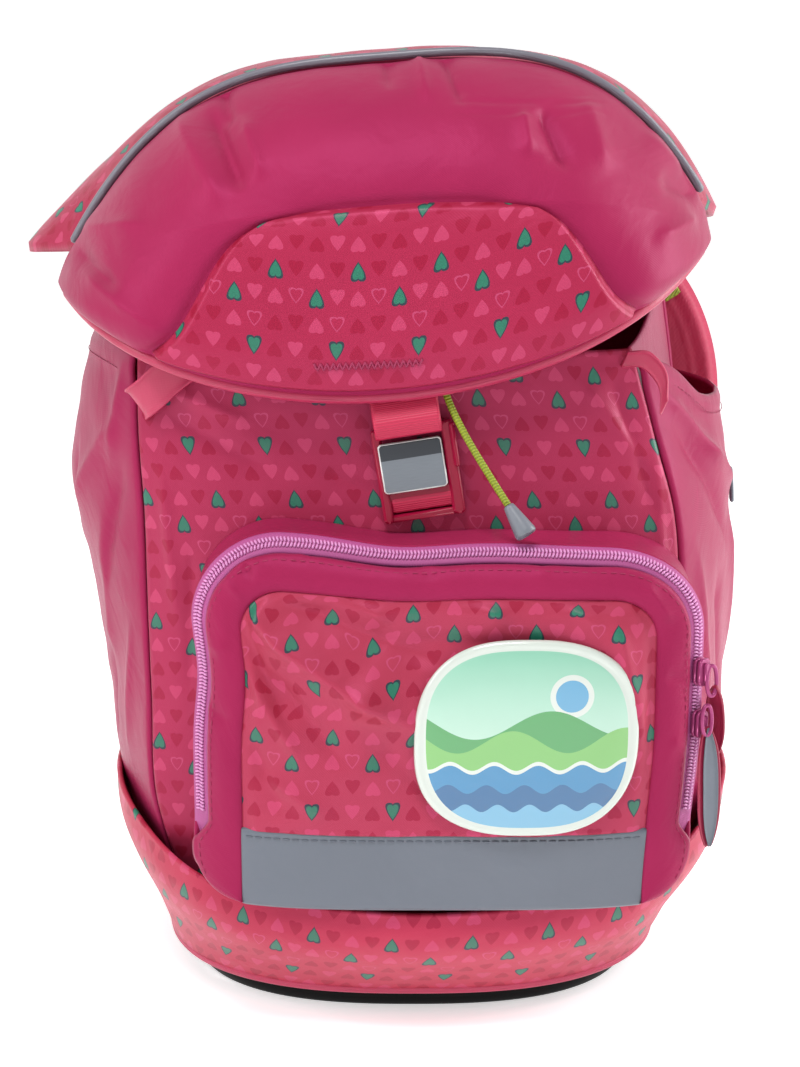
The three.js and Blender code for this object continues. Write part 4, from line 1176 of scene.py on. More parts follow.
def band_lift(u, v, x, y, z):
    """A slight swell between the seams above and below, drawn in where the front corners turn."""
    seam = off_seam(v * BAND_UP, 4) * off_seam((1 - v) * BAND_UP, 3)
    angle = u * 2 * np.pi + np.pi / 2
    corner = ease(-2.5 * np.sin(angle) - 0.1) * ease(2.5 * np.abs(np.cos(angle)) - 0.9)
    drawn = 2.5 * corner * ease((v - 0.35) / 0.65)
    return (0.6 + 0.6 * unevenness(x, z, 40.0, 31) + 0.2 * unevenness(x, z, 16.0, 32)) * seam - 0.4 - drawn


wall("foot_band_cloth", band_point, 0, CLOTH, 360, 40, print_band, band_lift, closed=True,
     replaced=["bottom_band"])


def foot_point(turn, z, inset):
    """A line parallel to the band's foot, set in across its run."""
    foot = np.zeros_like(turn)
    p = band_point(turn, foot)
    run = unit(band_point(turn + SLOPE_STEP, foot) - band_point(turn - SLOPE_STEP, foot))
    return vector(p[..., 0] - run[..., 1] * inset, p[..., 1] + run[..., 0] * inset, z)


piping_height = BAND_START - CLOTH / 2
foot_line = foot_point(np.linspace(0, 1, 260, endpoint=False), piping_height - 0.8, -0.2)
tube("foot_piping_cloth", foot_line, PIPING / 2 + 0.2, piping_cloth, closed=True,
     replaced=["bottom_piping"])
TRAY_RINGS = [
    (0.0, PIPING + 6.0), (0.3, PIPING + 4.4), (1.4, PIPING + 3.4), (3.0, PIPING + 2.9), (5.6, PIPING + 2.4),
    (6.0, PIPING + 2.9), (6.6, PIPING + 2.9), (7.0, PIPING + 2.2), (11.0, PIPING + 1.2),
    (TRAY_HEIGHT, PIPING + 0.9), (TRAY_HEIGHT, PIPING + 4.9), (TRAY_WALL + 1, PIPING + 6.5),
    (TRAY_WALL, PIPING + 12.0),
]


# The tray is rings parallel to the band's foot, each with its height and its inset from the table.
turns = np.linspace(0, 1, TRAY_COUNT, endpoint=False)
points = np.concatenate([foot_point(turns, height, inset) for height, inset in TRAY_RINGS])
plain_body("moulded_tray", points, rings(len(TRAY_RINGS), TRAY_COUNT), tray_plastic,
           ["base_tray"])
print("foot piping in mm:", round(float(lengths(foot_line)[-1])))

# %% [markdown]
# ## Front pocket
# The pocket is a box of cloth sewn on the front: a plain gusset, a zip round three sides, a plain rim,
# and a printed face with a reflective strip below. Its face is pulled from the upper left corner,
# which makes the long slanting folds.

# %% Pocket outline and face
def sag(x, z):
    """The pocket's top sags in its middle and toward its right, and its right foot is drawn in."""
    height = np.clip((z - POCKET_FOOT) / POCKET_HEIGHT, 0, 1.1)
    aside = np.clip((x - POCKET_ASIDE) / POCKET_WIDTH, -0.6, 0.6)
    dip = 0.026 * bump(aside, -0.1, 0.13) + 0.05 * ease(aside + 0.5)
    give = 0.012 * bump(height, 0.62, 0.12) * ease(-2 * aside)
    give = give - 0.022 * ease(1 - 2 * height) * ease(2 * aside)
    return x + POCKET_WIDTH * give, z - POCKET_HEIGHT * dip * height ** 4


def pocket_outline(place, grow, square=False):
    """Outline in nine stretches, from the middle of the foot clockwise: half a foot, corner, side,
    corner, top, and the same on the right. The whole part of place picks the stretch."""
    place, grow = np.broadcast_arrays(np.asarray(place, float), np.asarray(grow, float))
    mirrored = place > 4.5
    run = np.where(mirrored, 9 - place, place)
    half = POCKET_WIDTH / 2 + grow
    low = POCKET_FOOT - (0 if square else 1) * grow
    high = POCKET_FOOT + POCKET_HEIGHT + grow
    top = POCKET_TOP_RADIUS + grow
    foot = POCKET_FOOT_RADIUS + (0 if square else 1) * grow
    part = np.clip(np.floor(run), 0, 4).astype(int)
    t = run - part
    turn = t * np.pi / 2
    corner_x = -half if square else foot - half - foot * np.sin(turn)
    corner_z = low + foot * t if square else low + foot - foot * np.cos(turn)
    arch_x, arch_z = top - half - top * np.cos(turn), high - top + top * np.sin(turn)
    across, up = lerp(top - half, half - top, t), lerp(low + foot, high - top, t)
    x = np.choose(part, [lerp(0, foot - half, t), corner_x, -half, arch_x, across])
    z = np.choose(part, [low + 0 * t, corner_z, up, arch_z, high + 0 * t])
    return sag(np.where(mirrored, -x, x) + POCKET_ASIDE, z)


def face_point(x, z):
    """How far forward the pocket's face stands: a swell that is flat in the middle and falls to its
    sides by a fourth power and to its top by a seventh."""
    a = np.clip(np.abs(x - POCKET_ASIDE) / (POCKET_WIDTH / 2), 0, 1)
    b = np.clip((z - POCKET_FOOT) / POCKET_HEIGHT, 0, 1)
    swell = (1 - a ** 4) * (1 - b ** 7)
    return vector(x, -(POCKET_BACK + POCKET_DEPTH + GAP + POCKET_BULGE * swell), z)


FACE_LEFT = POCKET_ASIDE - POCKET_WIDTH / 2 + FACE_INSET
FACE_RIGHT = POCKET_ASIDE + POCKET_WIDTH / 2 - FACE_INSET
FACE_TOP, FACE_UP = POCKET_FOOT + POCKET_HEIGHT - FACE_INSET, 86.0

# The folds of the face, the long slanting ones first.
FACE_FOLDS = [
    (-59, 168, -42, 149, 6.0, 4.2),
    (-44, 152, -8, 128, 8.0, 5.0),
    (-20, 135, 6, 122, 9.0, 3.4),
    (-60, 160, -42, 124, 6.0, -3.8),
    (-46, 140, -24, 112, 7.0, -2.4),
    (-58, 146, -38, 112, 5.0, 3.0),
    (-42, 166, 10, 146, 10.0, -4.5),
    (0, 154, 52, 151, 10.0, -3.2),
    (-56, 118, -44, 92, 8.0, -2.2),
    (-50, 104, -30, 92, 7.0, 2.0),
    (70, 160, 80, 116, 6.0, 2.8),
    (-10, 118, 8, 96, 9.0, -1.6),
    (-22, 171, -8, 160, 5.0, 2.0),
    (20, 171, 32, 160, 6.0, 2.0),
    (50, 170, 64, 158, 6.0, 1.8),
]


def zipped(z):
    """One where the zip runs, falling smoothly to zero over 10 mm below its foot."""
    return ease((z - ZIP_FOOT) / 10 + 1)


def front_at(x, z):
    """How far forward the front wall stands at a place."""
    side = np.clip((x / HALF_WIDTH - body_row(z, "lean")) / body_row(z, "half"), -1, 1)
    return front_point((side + 1) / 2, z)[..., 1]


print("pocket face is", FACE_RIGHT - FACE_LEFT, "mm wide")

# %% [markdown]
# ### The pocket's cloth
# The gusset is a ring of cloth between front wall and zip. The zip tape slants from the gusset to the
# rim, and the rim, the printed face and the strip lie on the face's swell.

# %% Gusset, zip tape and rim
POCKET_FRONT = POCKET_BACK + POCKET_DEPTH - GAP


def gusset(u, v):
    """Side wall of the pocket: its outline, drawn from the front wall out to the zip or the rim."""
    x, z = pocket_outline(9 * (u - np.floor(u)), 1.5)
    front = lerp(POCKET_FRONT, ZIP_BACK, zipped(z)) - CLOTH
    return vector(x, lerp(front_at(x, z) - 2 * GAP, -front, v), z)


def gusset_lift(u, v, x, y, z):
    """A swell of half a wave across the gusset. On its left, humps and dents take turns up the cloth."""
    left = ease(-x / 60)
    soft = np.sin(np.pi * v)
    crush = 1.1 * bump(z, 157, 5) - 1.3 * bump(z, 148, 4) + 1.2 * bump(z, 139, 5) - 0.8 * bump(z, 120, 7)
    return -(0.8 + 0.9 * unevenness(9 * u * 20, z, 26.0, 41) + crush * left) * soft


def zip_place(u, out):
    """The part of the outline that the zip runs along, from its foot on the left over the top."""
    side = POCKET_HEIGHT - POCKET_TOP_RADIUS - POCKET_FOOT_RADIUS
    start = 2 + (ZIP_FOOT - 9 - POCKET_FOOT - POCKET_FOOT_RADIUS) / side
    return pocket_outline(lerp(start, 9 - start, u), out)


def zip_surface(u, v):
    """The zip tape: a slope from the gusset's front edge to the rim's outer edge."""
    x, z = zip_place(u, lerp(ZIP_MARGIN, -ZIP_CHAMFER, v))
    return vector(x, -lerp(ZIP_BACK, POCKET_FRONT, v), z)


def rim_surface(u, v):
    """The rim: from the pocket's outline in to the square frame round the face."""
    place = lerp(1, 8, np.clip(u, 0, 1))
    margin = lerp(1, -ZIP_CHAMFER - GAP, zipped(pocket_outline(place, 0)[1]))
    outer, inner = pocket_outline(place, margin), pocket_outline(place, GAP - FACE_INSET, True)
    return face_point(lerp(outer[0], inner[0], v), lerp(outer[1], inner[1], v))


# Puckers across the rim, in the same form as the folds.
RIM_FOLDS = [
    (-60, 187, -54, 174, 2.6, -1.8),
    (-66, 178, -58, 168, 3.0, 1.4),
    (-38, 190, -37, 180, 2.2, -1.4),
    (-34, 190, -33, 180, 3.2, 1.0),
    (6, 184, 7, 174, 3.0, -0.9),
    (44, 184, 45, 174, 3.0, 0.8),
    (80, 172, 88, 160, 3.5, 1.2),
    (-72, 150, -62, 150, 3.5, 1.2),
    (-72, 128, -62, 124, 3.5, -1.0),
    (88, 140, 98, 136, 3.5, -0.9),
    (90, 116, 98, 112, 3.5, 0.9),
]


def rim_lift(u, v, x, y, z):
    """A roll of half a wave across the rim, to the power 0.7, with its puckers."""
    roll = 1.5 * np.sin(np.pi * np.clip(v, 0, 1)) ** 0.7
    return roll + (folds(RIM_FOLDS, x, z) + 0.5 * unevenness(x, z, 22.0, 43)) * np.sin(np.pi * v) ** 0.4


wall("pocket_gusset_cloth", gusset, 0, CLOTH, 420, 16, nylon, gusset_lift, closed=True,
     replaced=["pocket_gusset"])
wall("pocket_zip_tape", zip_surface, 0, CLOTH, 360, 4, zip_tape, replaced=["pocket_zip"])
wall("pocket_rim_cloth", rim_surface, 0, CLOTH, 420, 20, nylon, rim_lift,
     replaced=["pocket_rim"])
print("the zip's tape is", round(math.hypot(ZIP_WIDTH - GAP, ZIP_MARGIN + ZIP_CHAMFER), 1), "mm wide")

# %% [markdown]
# ### Printed face and strip
# The face is one panel with the long folds. The strip is tape sewn over the face's foot.

# %% Printed face and strip
def face_surface(u, v):
    """The printed face, above the strip: a rectangle whose upper corners are quarter circles."""
    z = lerp(POCKET_FOOT + STRIP_HEIGHT + GAP, FACE_TOP, v)
    radius = POCKET_TOP_RADIUS - FACE_INSET
    over = np.maximum(z - (FACE_TOP - radius), 0)
    cut = radius - np.sqrt(np.maximum(radius ** 2 - over ** 2, 0))
    return face_point(*sag(lerp(FACE_LEFT + cut, FACE_RIGHT - cut, u), z))


def face_lift(u, v, x, y, z):
    """Folds and unevenness on a face that stands 0.6 mm proud and dips 0.6 mm into its seams."""
    inside = np.minimum(to_edge(u) * (FACE_RIGHT - FACE_LEFT), (1 - v) * FACE_UP)
    held = ease(inside / 6)
    loose = 0.7 * unevenness(x, z, 42.0, 45) + 0.25 * unevenness(x, z, 15.0, 46)
    return (1.2 + folds(FACE_FOLDS, x, z) + loose) * held - 0.6


def strip_surface(u, v):
    """The reflective strip, over the whole width of the face at its foot."""
    z = lerp(POCKET_FOOT - 1, POCKET_FOOT + STRIP_HEIGHT, v)
    return face_point(*sag(lerp(FACE_LEFT, FACE_RIGHT, u), z))


def strip_lift(u, v, x, y, z):
    """The strip stands a little proud, with a faint unevenness of long waves."""
    return 0.35 + 0.3 * unevenness(x, z, 70.0, 47)


wall("pocket_face_cloth", face_surface, 0, -CLOTH, 170, 118, print_pocket, face_lift,
     replaced=["pocket_face"])
wall("reflective_strip_cloth", strip_surface, 0, -CLOTH, 160, 24, reflective,
     strip_lift, replaced=["reflective_strip"])
print("face from", FACE_LEFT, "to", FACE_RIGHT, "mm across")

# %% [markdown]
# ### Zip teeth and stitches
# A coil zip shows two rows of small rounded loops side by side. Each loop is one bead across the row.

# %% Zip teeth and stitches
def zip_row(centre, pitch, half):
    """Beads at equal steps along the zip, lying across it, at one side of its middle line."""
    def line(u, aside=0.0):
        """The row's line on the tape, or one beside it."""
        return zip_surface(u, np.full_like(u, centre + aside))

    u = np.linspace(0.026, 0.974, 900)
    run = lengths(line(u))
    at = np.interp(np.arange(0.6, run[-1], pitch), run, u)
    middle = line(at)
    along = unit(line(at + 1e-3) - line(at - 1e-3))
    across = unit(line(at, 0.05) - line(at, -0.05))
    out = np.cross(across, along)
    out = out * np.sign((out * np.array([0.0, -1.0, 0.0])).sum(-1, keepdims=True) + 1e-6)
    lean = unit(across + half * 0.25 * along)
    side = unit(np.cross(out, lean))
    return middle + out * 0.35, lean, side, np.cross(lean, side)


for row, centre, half in (("outer", 0.36, 1), ("inner", 0.64, -1)):
    places, across, along, out = zip_row(centre, 1.25, half)
    beads(f"zip_teeth_{row}", places, across, along, out, (2.1, 0.95, 1.3), teeth_plastic)
print("zip loops a row:", len(places))

stitches("strip_stitches", strip_surface, lambda t: (lerp(0.008, 0.992, t), 0 * t + 0.93), 3.3,
         thread_grey, proud=0.55)
stitches("rim_stitches", rim_surface, lambda t: (lerp(0.09, 0.91, t), 0 * t + 0.14), 3.2, thread,
         proud=1.0, thick=0.28, length=2.0)
for side, name in ((-1, "left"), (1, "right")):
    stitches(
        f"side_pocket_stitches_{name}",
        lambda u, v, side=side, name=name: side_pocket_point(
            side, u, lerp(BAND_SIDE + GAP, smooth(SIDE_RIM, u, name) * WALL_TOP, v)),
        lambda t: (lerp(0.03, 0.97, t), 0 * t + 0.955), 3.2, thread, proud=0.7, thick=0.35,
        length=2.2,
    )

# %% [markdown]
# ## Buckle and webbing
# The lid's webbing runs over the top of a moulded buckle, whose metal plate snaps down on it. The
# frame is one moulding of rails and bars. It hangs a little turned.

# %% Buckle and webbing
PANEL_FRONT = 0.485 * BODY_DEPTH + GAP
BUCKLE_PLACE = np.array([3.0, 0.0, 205.0])


def hung(points):
    """Turns points by the buckle's tilt about its middle, and puts them in place."""
    x, y, z = points[..., 0], points[..., 1], points[..., 2]
    c, s = math.cos(BUCKLE_TILT), math.sin(BUCKLE_TILT)
    return vector(c * x + s * z, y, -s * x + c * z) + BUCKLE_PLACE


def bar(width, height, middle, back, thickness, radius, edge):
    """One rail or bar of the buckle: a slab with round corners and a rounded edge."""
    return slab(lambda inset: rounded(width, height, radius, inset, 6, middle), back, thickness, edge)


half_w, half_h = BUCKLE_WIDTH / 2, BUCKLE_HEIGHT / 2
frame_parts = [
    bar(3.6, BUCKLE_HEIGHT, (-half_w + 1.8, 0), -PANEL_FRONT, 4.6, 1.6, 1.0),
    bar(4.6, BUCKLE_HEIGHT, (half_w - 2.3, 0), -PANEL_FRONT, 4.6, 1.8, 1.0),
    bar(2.2, 16.0, (half_w - 0.6, 8.0), -PANEL_FRONT - 1.0, 4.8, 1.0, 0.9),
    bar(BUCKLE_WIDTH - 2, 3.0, (0, half_h - 1.6), -PANEL_FRONT, 3.6, 1.2, 0.8),
    bar(BUCKLE_WIDTH - 2, 15.0, (0, 1.8), -PANEL_FRONT, 2.2, 1.2, 0.6),
    bar(BUCKLE_WIDTH - 2, 4.0, (0, -7.6), -PANEL_FRONT, 3.8, 1.2, 0.8),
    bar(BUCKLE_WIDTH - 2, 2.8, (0, -half_h + 1.5), -PANEL_FRONT, 3.8, 1.2, 0.8),
]
points, faces = joined(frame_parts)
plain_body("buckle_frame_moulding", hung(points), faces, buckle_plastic, ["buckle_frame"])
plate_back = -PANEL_FRONT - BUCKLE_THICKNESS - GAP
points, faces = slab(lambda inset: rounded(22.5, 18.0, 1.6, inset, 8, (-1.5, 3.0)), plate_back, 1.3, 0.3)
plain_body("buckle_plate_rim", hung(points), faces, plate_rim)
points, faces = slab(
    lambda inset: rounded(21.5, 17.0, 1.2, inset, 8, (-1.5, 3.0)), plate_back - 0.9, 0.7, 0.2,
)
make_with_caps("buckle_plate_face", hung(points), faces, points[:, [0, 2]] / 1000, plate_metal,
               ["buckle_plate"])
print("bars in the buckle's frame:", len(frame_parts))

# %% [markdown]
# ### Webbing
# Webbing is a flat woven band. Here it is a wall along a smooth path, whose selvedges bend back a
# little. The lid's piece is held by a bartack, a dense zigzag of thread.

# %% Webbing, bartack and eyelet
def webbing_band(name, rows, across, width, thickness, look, steps=60, curl=0.0, turn=None,
                 taper=0.0, replaced=()):
    """A flat band along a smooth path, its width along one direction. Its selvedges bend back by a
    sixth power, and its ends are narrowed by a taper that grows with the cube of the way from the
    middle."""
    path = spread(rows, steps + 1)
    direction = unit(np.asarray(across, float))

    def surface(u, v):
        """The path's own point, moved across by its share of the width, and straight on past the ends."""
        at = np.clip(v, 0, 1) * steps
        p = vector(*(np.interp(at, np.arange(steps + 1), path[:, k]) for k in range(3)))
        over = (np.minimum(v, 0) + np.maximum(v - 1, 0))[..., None] * (path[-1] - path[-2]) * steps
        wide = width * (1 - taper * np.abs(2 * np.clip(v, 0, 1) - 1) ** 3)
        p = p + over + ((u - 0.5) * wide)[..., None] * direction
        return turn(p) if turn else p

    def edge(u, v, x, y, z):
        """The selvedges bend back."""
        return -curl * np.abs(2 * u - 1) ** 6

    half = thickness / 2
    return wall(name, surface, half, -half, 24, steps, look, edge, replaced=replaced)


front = PANEL_FRONT + BUCKLE_THICKNESS
LID_WEBBING = [(25, -3.2), (21, -1), (13, 0), (8, 2.5), (3, 5.5), (-2, 5.2)]
webbing_band(
    "lid_webbing_ribbed", [(-1, -front - out, half_h + rise) for rise, out in LID_WEBBING], (1, 0, 0),
    WEBBING_WIDTH, WEBBING, webbing, curl=0.3, turn=hung, replaced=["lid_webbing"],
)
webbing_band(
    "lower_webbing_ribbed",
    [(0, -PANEL_FRONT - 0.8, -6.0), (0, -PANEL_FRONT - 3.2, -9.0), (0, -PANEL_FRONT - 2.6, -13.0)],
    (1, 0, 0), WEBBING_WIDTH - 1, WEBBING, webbing, steps=20, turn=hung,
    replaced=["lower_webbing"],
)


TACK_TEETH = 17


def bartack(t):
    """Zigzag of thread that holds the webbing to the lid: a triangle wave along the seam."""
    across = lerp(0.405, 0.555, t)
    wave = 2 * np.abs((t * TACK_TEETH) % 1 - 0.5)
    return across, 0.105 + 0.012 * wave * 2 - 0.02 * (t - 0.5) ** 2


tack_at = np.linspace(0, 1, 8 * TACK_TEETH + 1)
tack_u, tack_v = bartack(tack_at)
tube("webbing_bartack", lid_offset(tack_u, tack_v, 2.5), 0.42, thread, sides=6,
     up=(0.0, 1.0, 0.2))
eyelet_rows = [
    (11, -72.6, 247.0), (11, -75.6, 246.0), (11.3, -76.8, 243.5), (11.2, -76.0, 241.4), (11, -73.0, 241.6),
]
webbing_band("cord_eyelet_loop", eyelet_rows, (1, 0, 0), 6.5, 1.2, piping_cloth, steps=24,
             replaced=["cord_eyelet"])
print("corners of the bartack's zigzag:", 2 * TACK_TEETH)

# %% [markdown]
# ## Badge
# A soft badge is held on the pocket. It is printed, domed with clear resin, and edged in white. Its
# picture is plain: a mint sky, green hills and blue water.

# %% Badge
BADGE_PLACE, BADGE_SIZE = (40.0, 120.0), (76.0, 70.0)


def badge_outline(angle, spread_in):
    """Rounded outline: signed powers of cosine and sine, with a slight swell to one side."""
    c, s = np.cos(angle), np.sin(angle)
    swell = 1 + 0.03 * np.sin(2 * angle + 0.6)
    x = BADGE_PLACE[0] + (BADGE_SIZE[0] / 2 - spread_in) * np.sign(c) * np.abs(c) ** 0.75 * swell
    z = BADGE_PLACE[1] + (BADGE_SIZE[1] / 2 - spread_in) * np.sign(s) * np.abs(s) ** 0.75
    return x, z


# Rings from the middle of the back, round the rolled rim, to the middle of the domed front. Each has
# its distance inside the outline and its height over the pocket's face.
BADGE_RINGS = [
    (30, 0.6), (8, 0.6), (1.2, 0.6), (0.2, 1.2), (0.0, 2.0), (0.4, 2.9), (1.2, 3.4), (2.2, 3.3), (3.0, 3.1),
    (4.0, 3.4), (6.0, 3.9), (10.0, 4.4), (16.0, 4.7), (24.0, 4.8), (32.0, 4.8),
]


def badge_ring(spread_in, lift):
    """The outline drawn in, laid on the pocket's face and raised."""
    angle = np.linspace(0, 2 * np.pi, BADGE_COUNT, endpoint=False)
    ring = face_point(*badge_outline(angle, spread_in))
    ring[:, 1] -= GAP + lift
    return ring


def badge_look():
    """Printed disc under clear resin: bands of colour cut by waves, under a glossy coat."""
    look, shader, add = material("printed resin badge", "#A9CDBB", 0.22, Coat_Weight=1.0,
                                 Coat_Roughness=0.06)
    x0, z0 = (np.array([BADGE_PLACE[0], 0, BADGE_PLACE[1]]) + BAG_ORIGIN)[[0, 2]] / 1000
    parts = add("SeparateXYZ", add("TexCoord").outputs["Object"]).outputs
    x = add("Math MULTIPLY", add("Math SUBTRACT", parts["X"], x0), 1000.0)
    z = add("Math MULTIPLY", add("Math SUBTRACT", parts["Z"], z0), 1000.0)

    def below(level, height, wave, phase):
        """One below a wavy line: a sine of its height and wavelength about its level."""
        crest = add("Math SINE", add("Math MULTIPLY_ADD", x, 2 * math.pi / wave, phase))
        return add("Math LESS_THAN", z, add("Math MULTIPLY_ADD", crest, height, level))

    def disc(cx, cz, radius):
        """One within a radius of a place."""
        dx, dz = add("Math SUBTRACT", x, cx), add("Math SUBTRACT", z, cz)
        square = add("Math ADD", add("Math MULTIPLY", dx, dx), add("Math MULTIPLY", dz, dz))
        return add("Math LESS_THAN", add("Math SQRT", square), radius)

    sky = add("MapRange", {"Value": z, "From Min": -5.0, "From Max": 32.0})
    shade = add("Mix RGBA", sky, colour("#B4D2C2"), colour("#86BFA6"))
    layers = [
        (disc(15.0, 16.0, 7.5), "#CBD2CB"), (disc(15.0, 16.0, 5.6), "#5E9CC0"),
        (below(6.0, 5.0, 52.0, 0.6), "#4A9656"), (below(0.0, 4.0, 38.0, 2.4), "#76B262"),
        (below(-8.6, 1.6, 15.0, 0.0), "#CBD2CB"), (below(-10.0, 1.6, 15.0, 0.0), "#347FAC"),
        (below(-17.0, 1.6, 13.0, 2.0), "#235F8E"), (below(-24.0, 1.4, 11.0, 1.0), "#6CA6C4"),
    ]
    for mask, ink in layers:
        shade = add("Mix RGBA", mask, shade, colour(ink))
    px = add("Math POWER", add("Math ABSOLUTE", add("Math DIVIDE", x, 34.6)), 2.7)
    pz = add("Math POWER", add("Math ABSOLUTE", add("Math DIVIDE", z, 31.6)), 2.7)
    border = add("Math GREATER_THAN", add("Math ADD", px, pz), 1.0)
    shade = add("Mix RGBA", border, shade, colour("#C6CEC6"))
    feed(shader.inputs["Base Color"], shade)
    return look


points = np.concatenate([badge_ring(*row) for row in BADGE_RINGS])
plain_body("domed_badge", points, rings(len(BADGE_RINGS), BADGE_COUNT), badge_look(),
           ["badge"])
print("badge corners:", len(points))

# %% [markdown]
# ## Sliders, pullers and small loops
# Two sliders meet on the zip's right side. Each carries a tapered webbing puller on a ring, and the
# front one has a reflective face. Small webbing loops sit at the lid's corners.

# %% Sliders and pullers
SLIDER_THICKNESS, SLANT = 3.2, math.sqrt(0.5)
SLIDER_OFF = (SLIDER_THICKNESS / 2 + GAP) * SLANT
SLIDER_X = POCKET_ASIDE + POCKET_WIDTH / 2 + (ZIP_MARGIN - ZIP_CHAMFER) / 2 + SLIDER_OFF
SLIDER_Y = -(ZIP_BACK + ZIP_WIDTH / 2) - SLIDER_OFF


def turned_out(points, z):
    """Turns a slider's parts by 45 degrees about the upright, to face out from the zip."""
    a, b = points[:, 0] * SLANT, points[:, 1] * SLANT
    x, y = a - b, a + b
    return vector(x + SLIDER_X, y + SLIDER_Y, points[:, 2] + z)


for name, z in (("upper", 139), ("lower", 120)):
    points, faces = joined([
        slab(lambda inset: rounded(6.2, 10.0, 2.4, inset, 6), 1.4, 1.3, 0.4),
        slab(lambda inset: rounded(6.2, 10.0, 2.4, inset, 6), -0.5, 1.3, 0.4),
        slab(lambda inset: rounded(2.2, 7.0, 1.0, inset, 5), -1.8, 1.2, 0.4),
    ])
    plain_body(f"slider_{name}", turned_out(points, z), faces, slider_metal,
               [f"zip_slider_{name}"])
REACH = SLIDER_X + SLIDER_THICKNESS * SLANT + GAP
print("sliders stand", round(SLIDER_OFF, 2), "mm off the zip")

# %% [markdown]
# ### Rings, pullers and loops
# The pull rings are closed tubes. Pullers and loops are short webbing bands, given by a few points.

# %% Rings, pullers and loops
def ring_path(x, y, z, wide, high, lean):
    """An upright oval that leans with its height, its sides flattened by the power 0.8."""
    angle = np.linspace(0, 2 * np.pi, 40, endpoint=False)
    c, s = np.cos(angle), np.sin(angle)
    side = wide * np.sign(c) * np.abs(c) ** 0.8 * 0.75
    return vector(x + side, y + lean * s + wide * 0.66 * c * 0.6, z + high * s)


ring_places = {
    "upper": (REACH + 1.0, SLIDER_Y - 1.2, 136.0),
    "lower": (REACH - 0.4, SLIDER_Y - 2.6, 122.0),
}
for name, at in ring_places.items():
    tube(f"pull_ring_{name}", ring_path(*at, 2.4, 5.2, 0.8), 0.75, slider_metal, closed=True,
         up=(0.7, -0.7, 0.0), sides=10)
front_pull = [
    (REACH - 0.6, SLIDER_Y - 2, 119), (REACH, SLIDER_Y - 3.5, 110), (REACH + 0.6, SLIDER_Y - 4, 95),
    (REACH + 1, SLIDER_Y - 3, 76),
]
webbing_band("front_puller_webbing", front_pull, (0.86, 0.5, 0), 9, 1.4, puller_cloth,
             curl=0.6, taper=0.75)
face_pull = [(x + 0.7, y - 0.75, z) for x, y, z in front_pull]
webbing_band("front_puller_face", face_pull, (0.86, 0.5, 0), 6.2, 0.5, reflective,
             curl=0.4, taper=0.85, replaced=["zip_puller_front"])
back_pull = [
    (REACH + 2.4, SLIDER_Y - 1, 134), (REACH + 3.4, SLIDER_Y + 3, 127), (REACH + 4.6, SLIDER_Y + 7, 118),
    (REACH + 5.4, SLIDER_Y + 9, 106),
]
webbing_band("back_puller_webbing", back_pull, (0.75, -0.66, 0), 6.5, 1.4, puller_cloth,
             curl=0.4, taper=0.75, replaced=["zip_puller_back"])
left_loop = [(-76, -68, 244), (-84, -69.5, 238), (-90.5, -69.5, 232), (-95, -66, 228), (-96, -58, 226)]
webbing_band("corner_loop_left_webbing", left_loop, (0.55, 0.1, -0.82), 12, WEBBING, piping_cloth,
             curl=0.9, replaced=["corner_loop_left"])
right_loop = [(76, -63.5, 243), (83, -66, 243), (89, -66, 236), (90, -64, 226)]
webbing_band("corner_loop_right_webbing", right_loop, (0.3, -0.4, 0.85), 6, WEBBING, piping_cloth,
             curl=0.3, replaced=["corner_loop_right"])

# %% [markdown]
# ## Carrying parts
# Behind the bag are a padded back, two padded shoulder straps with webbing below, and a grab
# handle.

# %% Back padding
PAD_ACROSS, PAD_UP = 200.0, 180.0


def padding(u, v):
    """The pad's flat outer face, a little narrower than the back wall behind it."""
    z = lerp(BAND_SIDE, SIDE_TOP, v)
    half = HALF_WIDTH * body_row(z, "backHalf") - 4 * CLOTH
    return vector((2 * u - 1) * half, 0 * z + PADDING_BACK, z)


def padding_lift(u, v, x, y, z):
    """Foam pads with sewn channels: a middle channel, two sideways ones, and a soft rim."""
    edge = np.minimum(to_edge(u) * PAD_ACROSS, to_edge(v) * PAD_UP)
    rim = ease(edge / 9)
    channel = 3.2 * bump(x, 0, 5) + 2.4 * bump(z, 150, 4) + 2.4 * bump(z, 205, 4)
    return (2.2 * rim - channel * rim - 2.2) + 0.3 * unevenness(x, z, 40.0, 51) * rim


back_pad = wall("back_padding_mesh", padding, 0, BACK_PADDING, 96, 96, strap_cloth,
                padding_lift, replaced=["back_padding"])
print("back padding from", BAND_SIDE, "to", SIDE_TOP, "mm")

# %% [markdown]
# ### Shoulder straps
# A strap is foam in knit cloth, with a sewn line near its edge. It follows a middle line from its own
# table. Webbing hangs from its foot, and a lime trim lies on it.

# %% Shoulder straps
def strap_point(side, across, along):
    """A strap's middle line from its table, widened across its run in the plane of the back. Its
    inner edge is cut closer to the middle line round the bend at the top."""
    before, after = along - STRAP_STEP, along + STRAP_STEP
    dx = HALF_WIDTH * (smooth(STRAP, after, "x") - smooth(STRAP, before, "x"))
    dz = BAG_HEIGHT * (smooth(STRAP, after, "z") - smooth(STRAP, before, "z"))
    inner = np.where(across < 0.5, 1 - 0.5 * bump(along, 0.27, 0.13), 1.0)
    reach = (across - 0.5) * inner * STRAP_WIDTH / np.hypot(dx, dz)
    return vector(
        side * (smooth(STRAP, along, "x") * HALF_WIDTH - dz * reach),
        PADDING_BACK + GAP + smooth(STRAP, along, "y") * BODY_DEPTH,
        smooth(STRAP, along, "z") * BAG_HEIGHT + dx * reach,
    )


def strap_back(side, across, along):
    """The strap's outer face, one padding behind the face that lies on the wearer's side."""
    return strap_point(side, across, along) + np.array([0.0, STRAP_PADDING, 0.0])


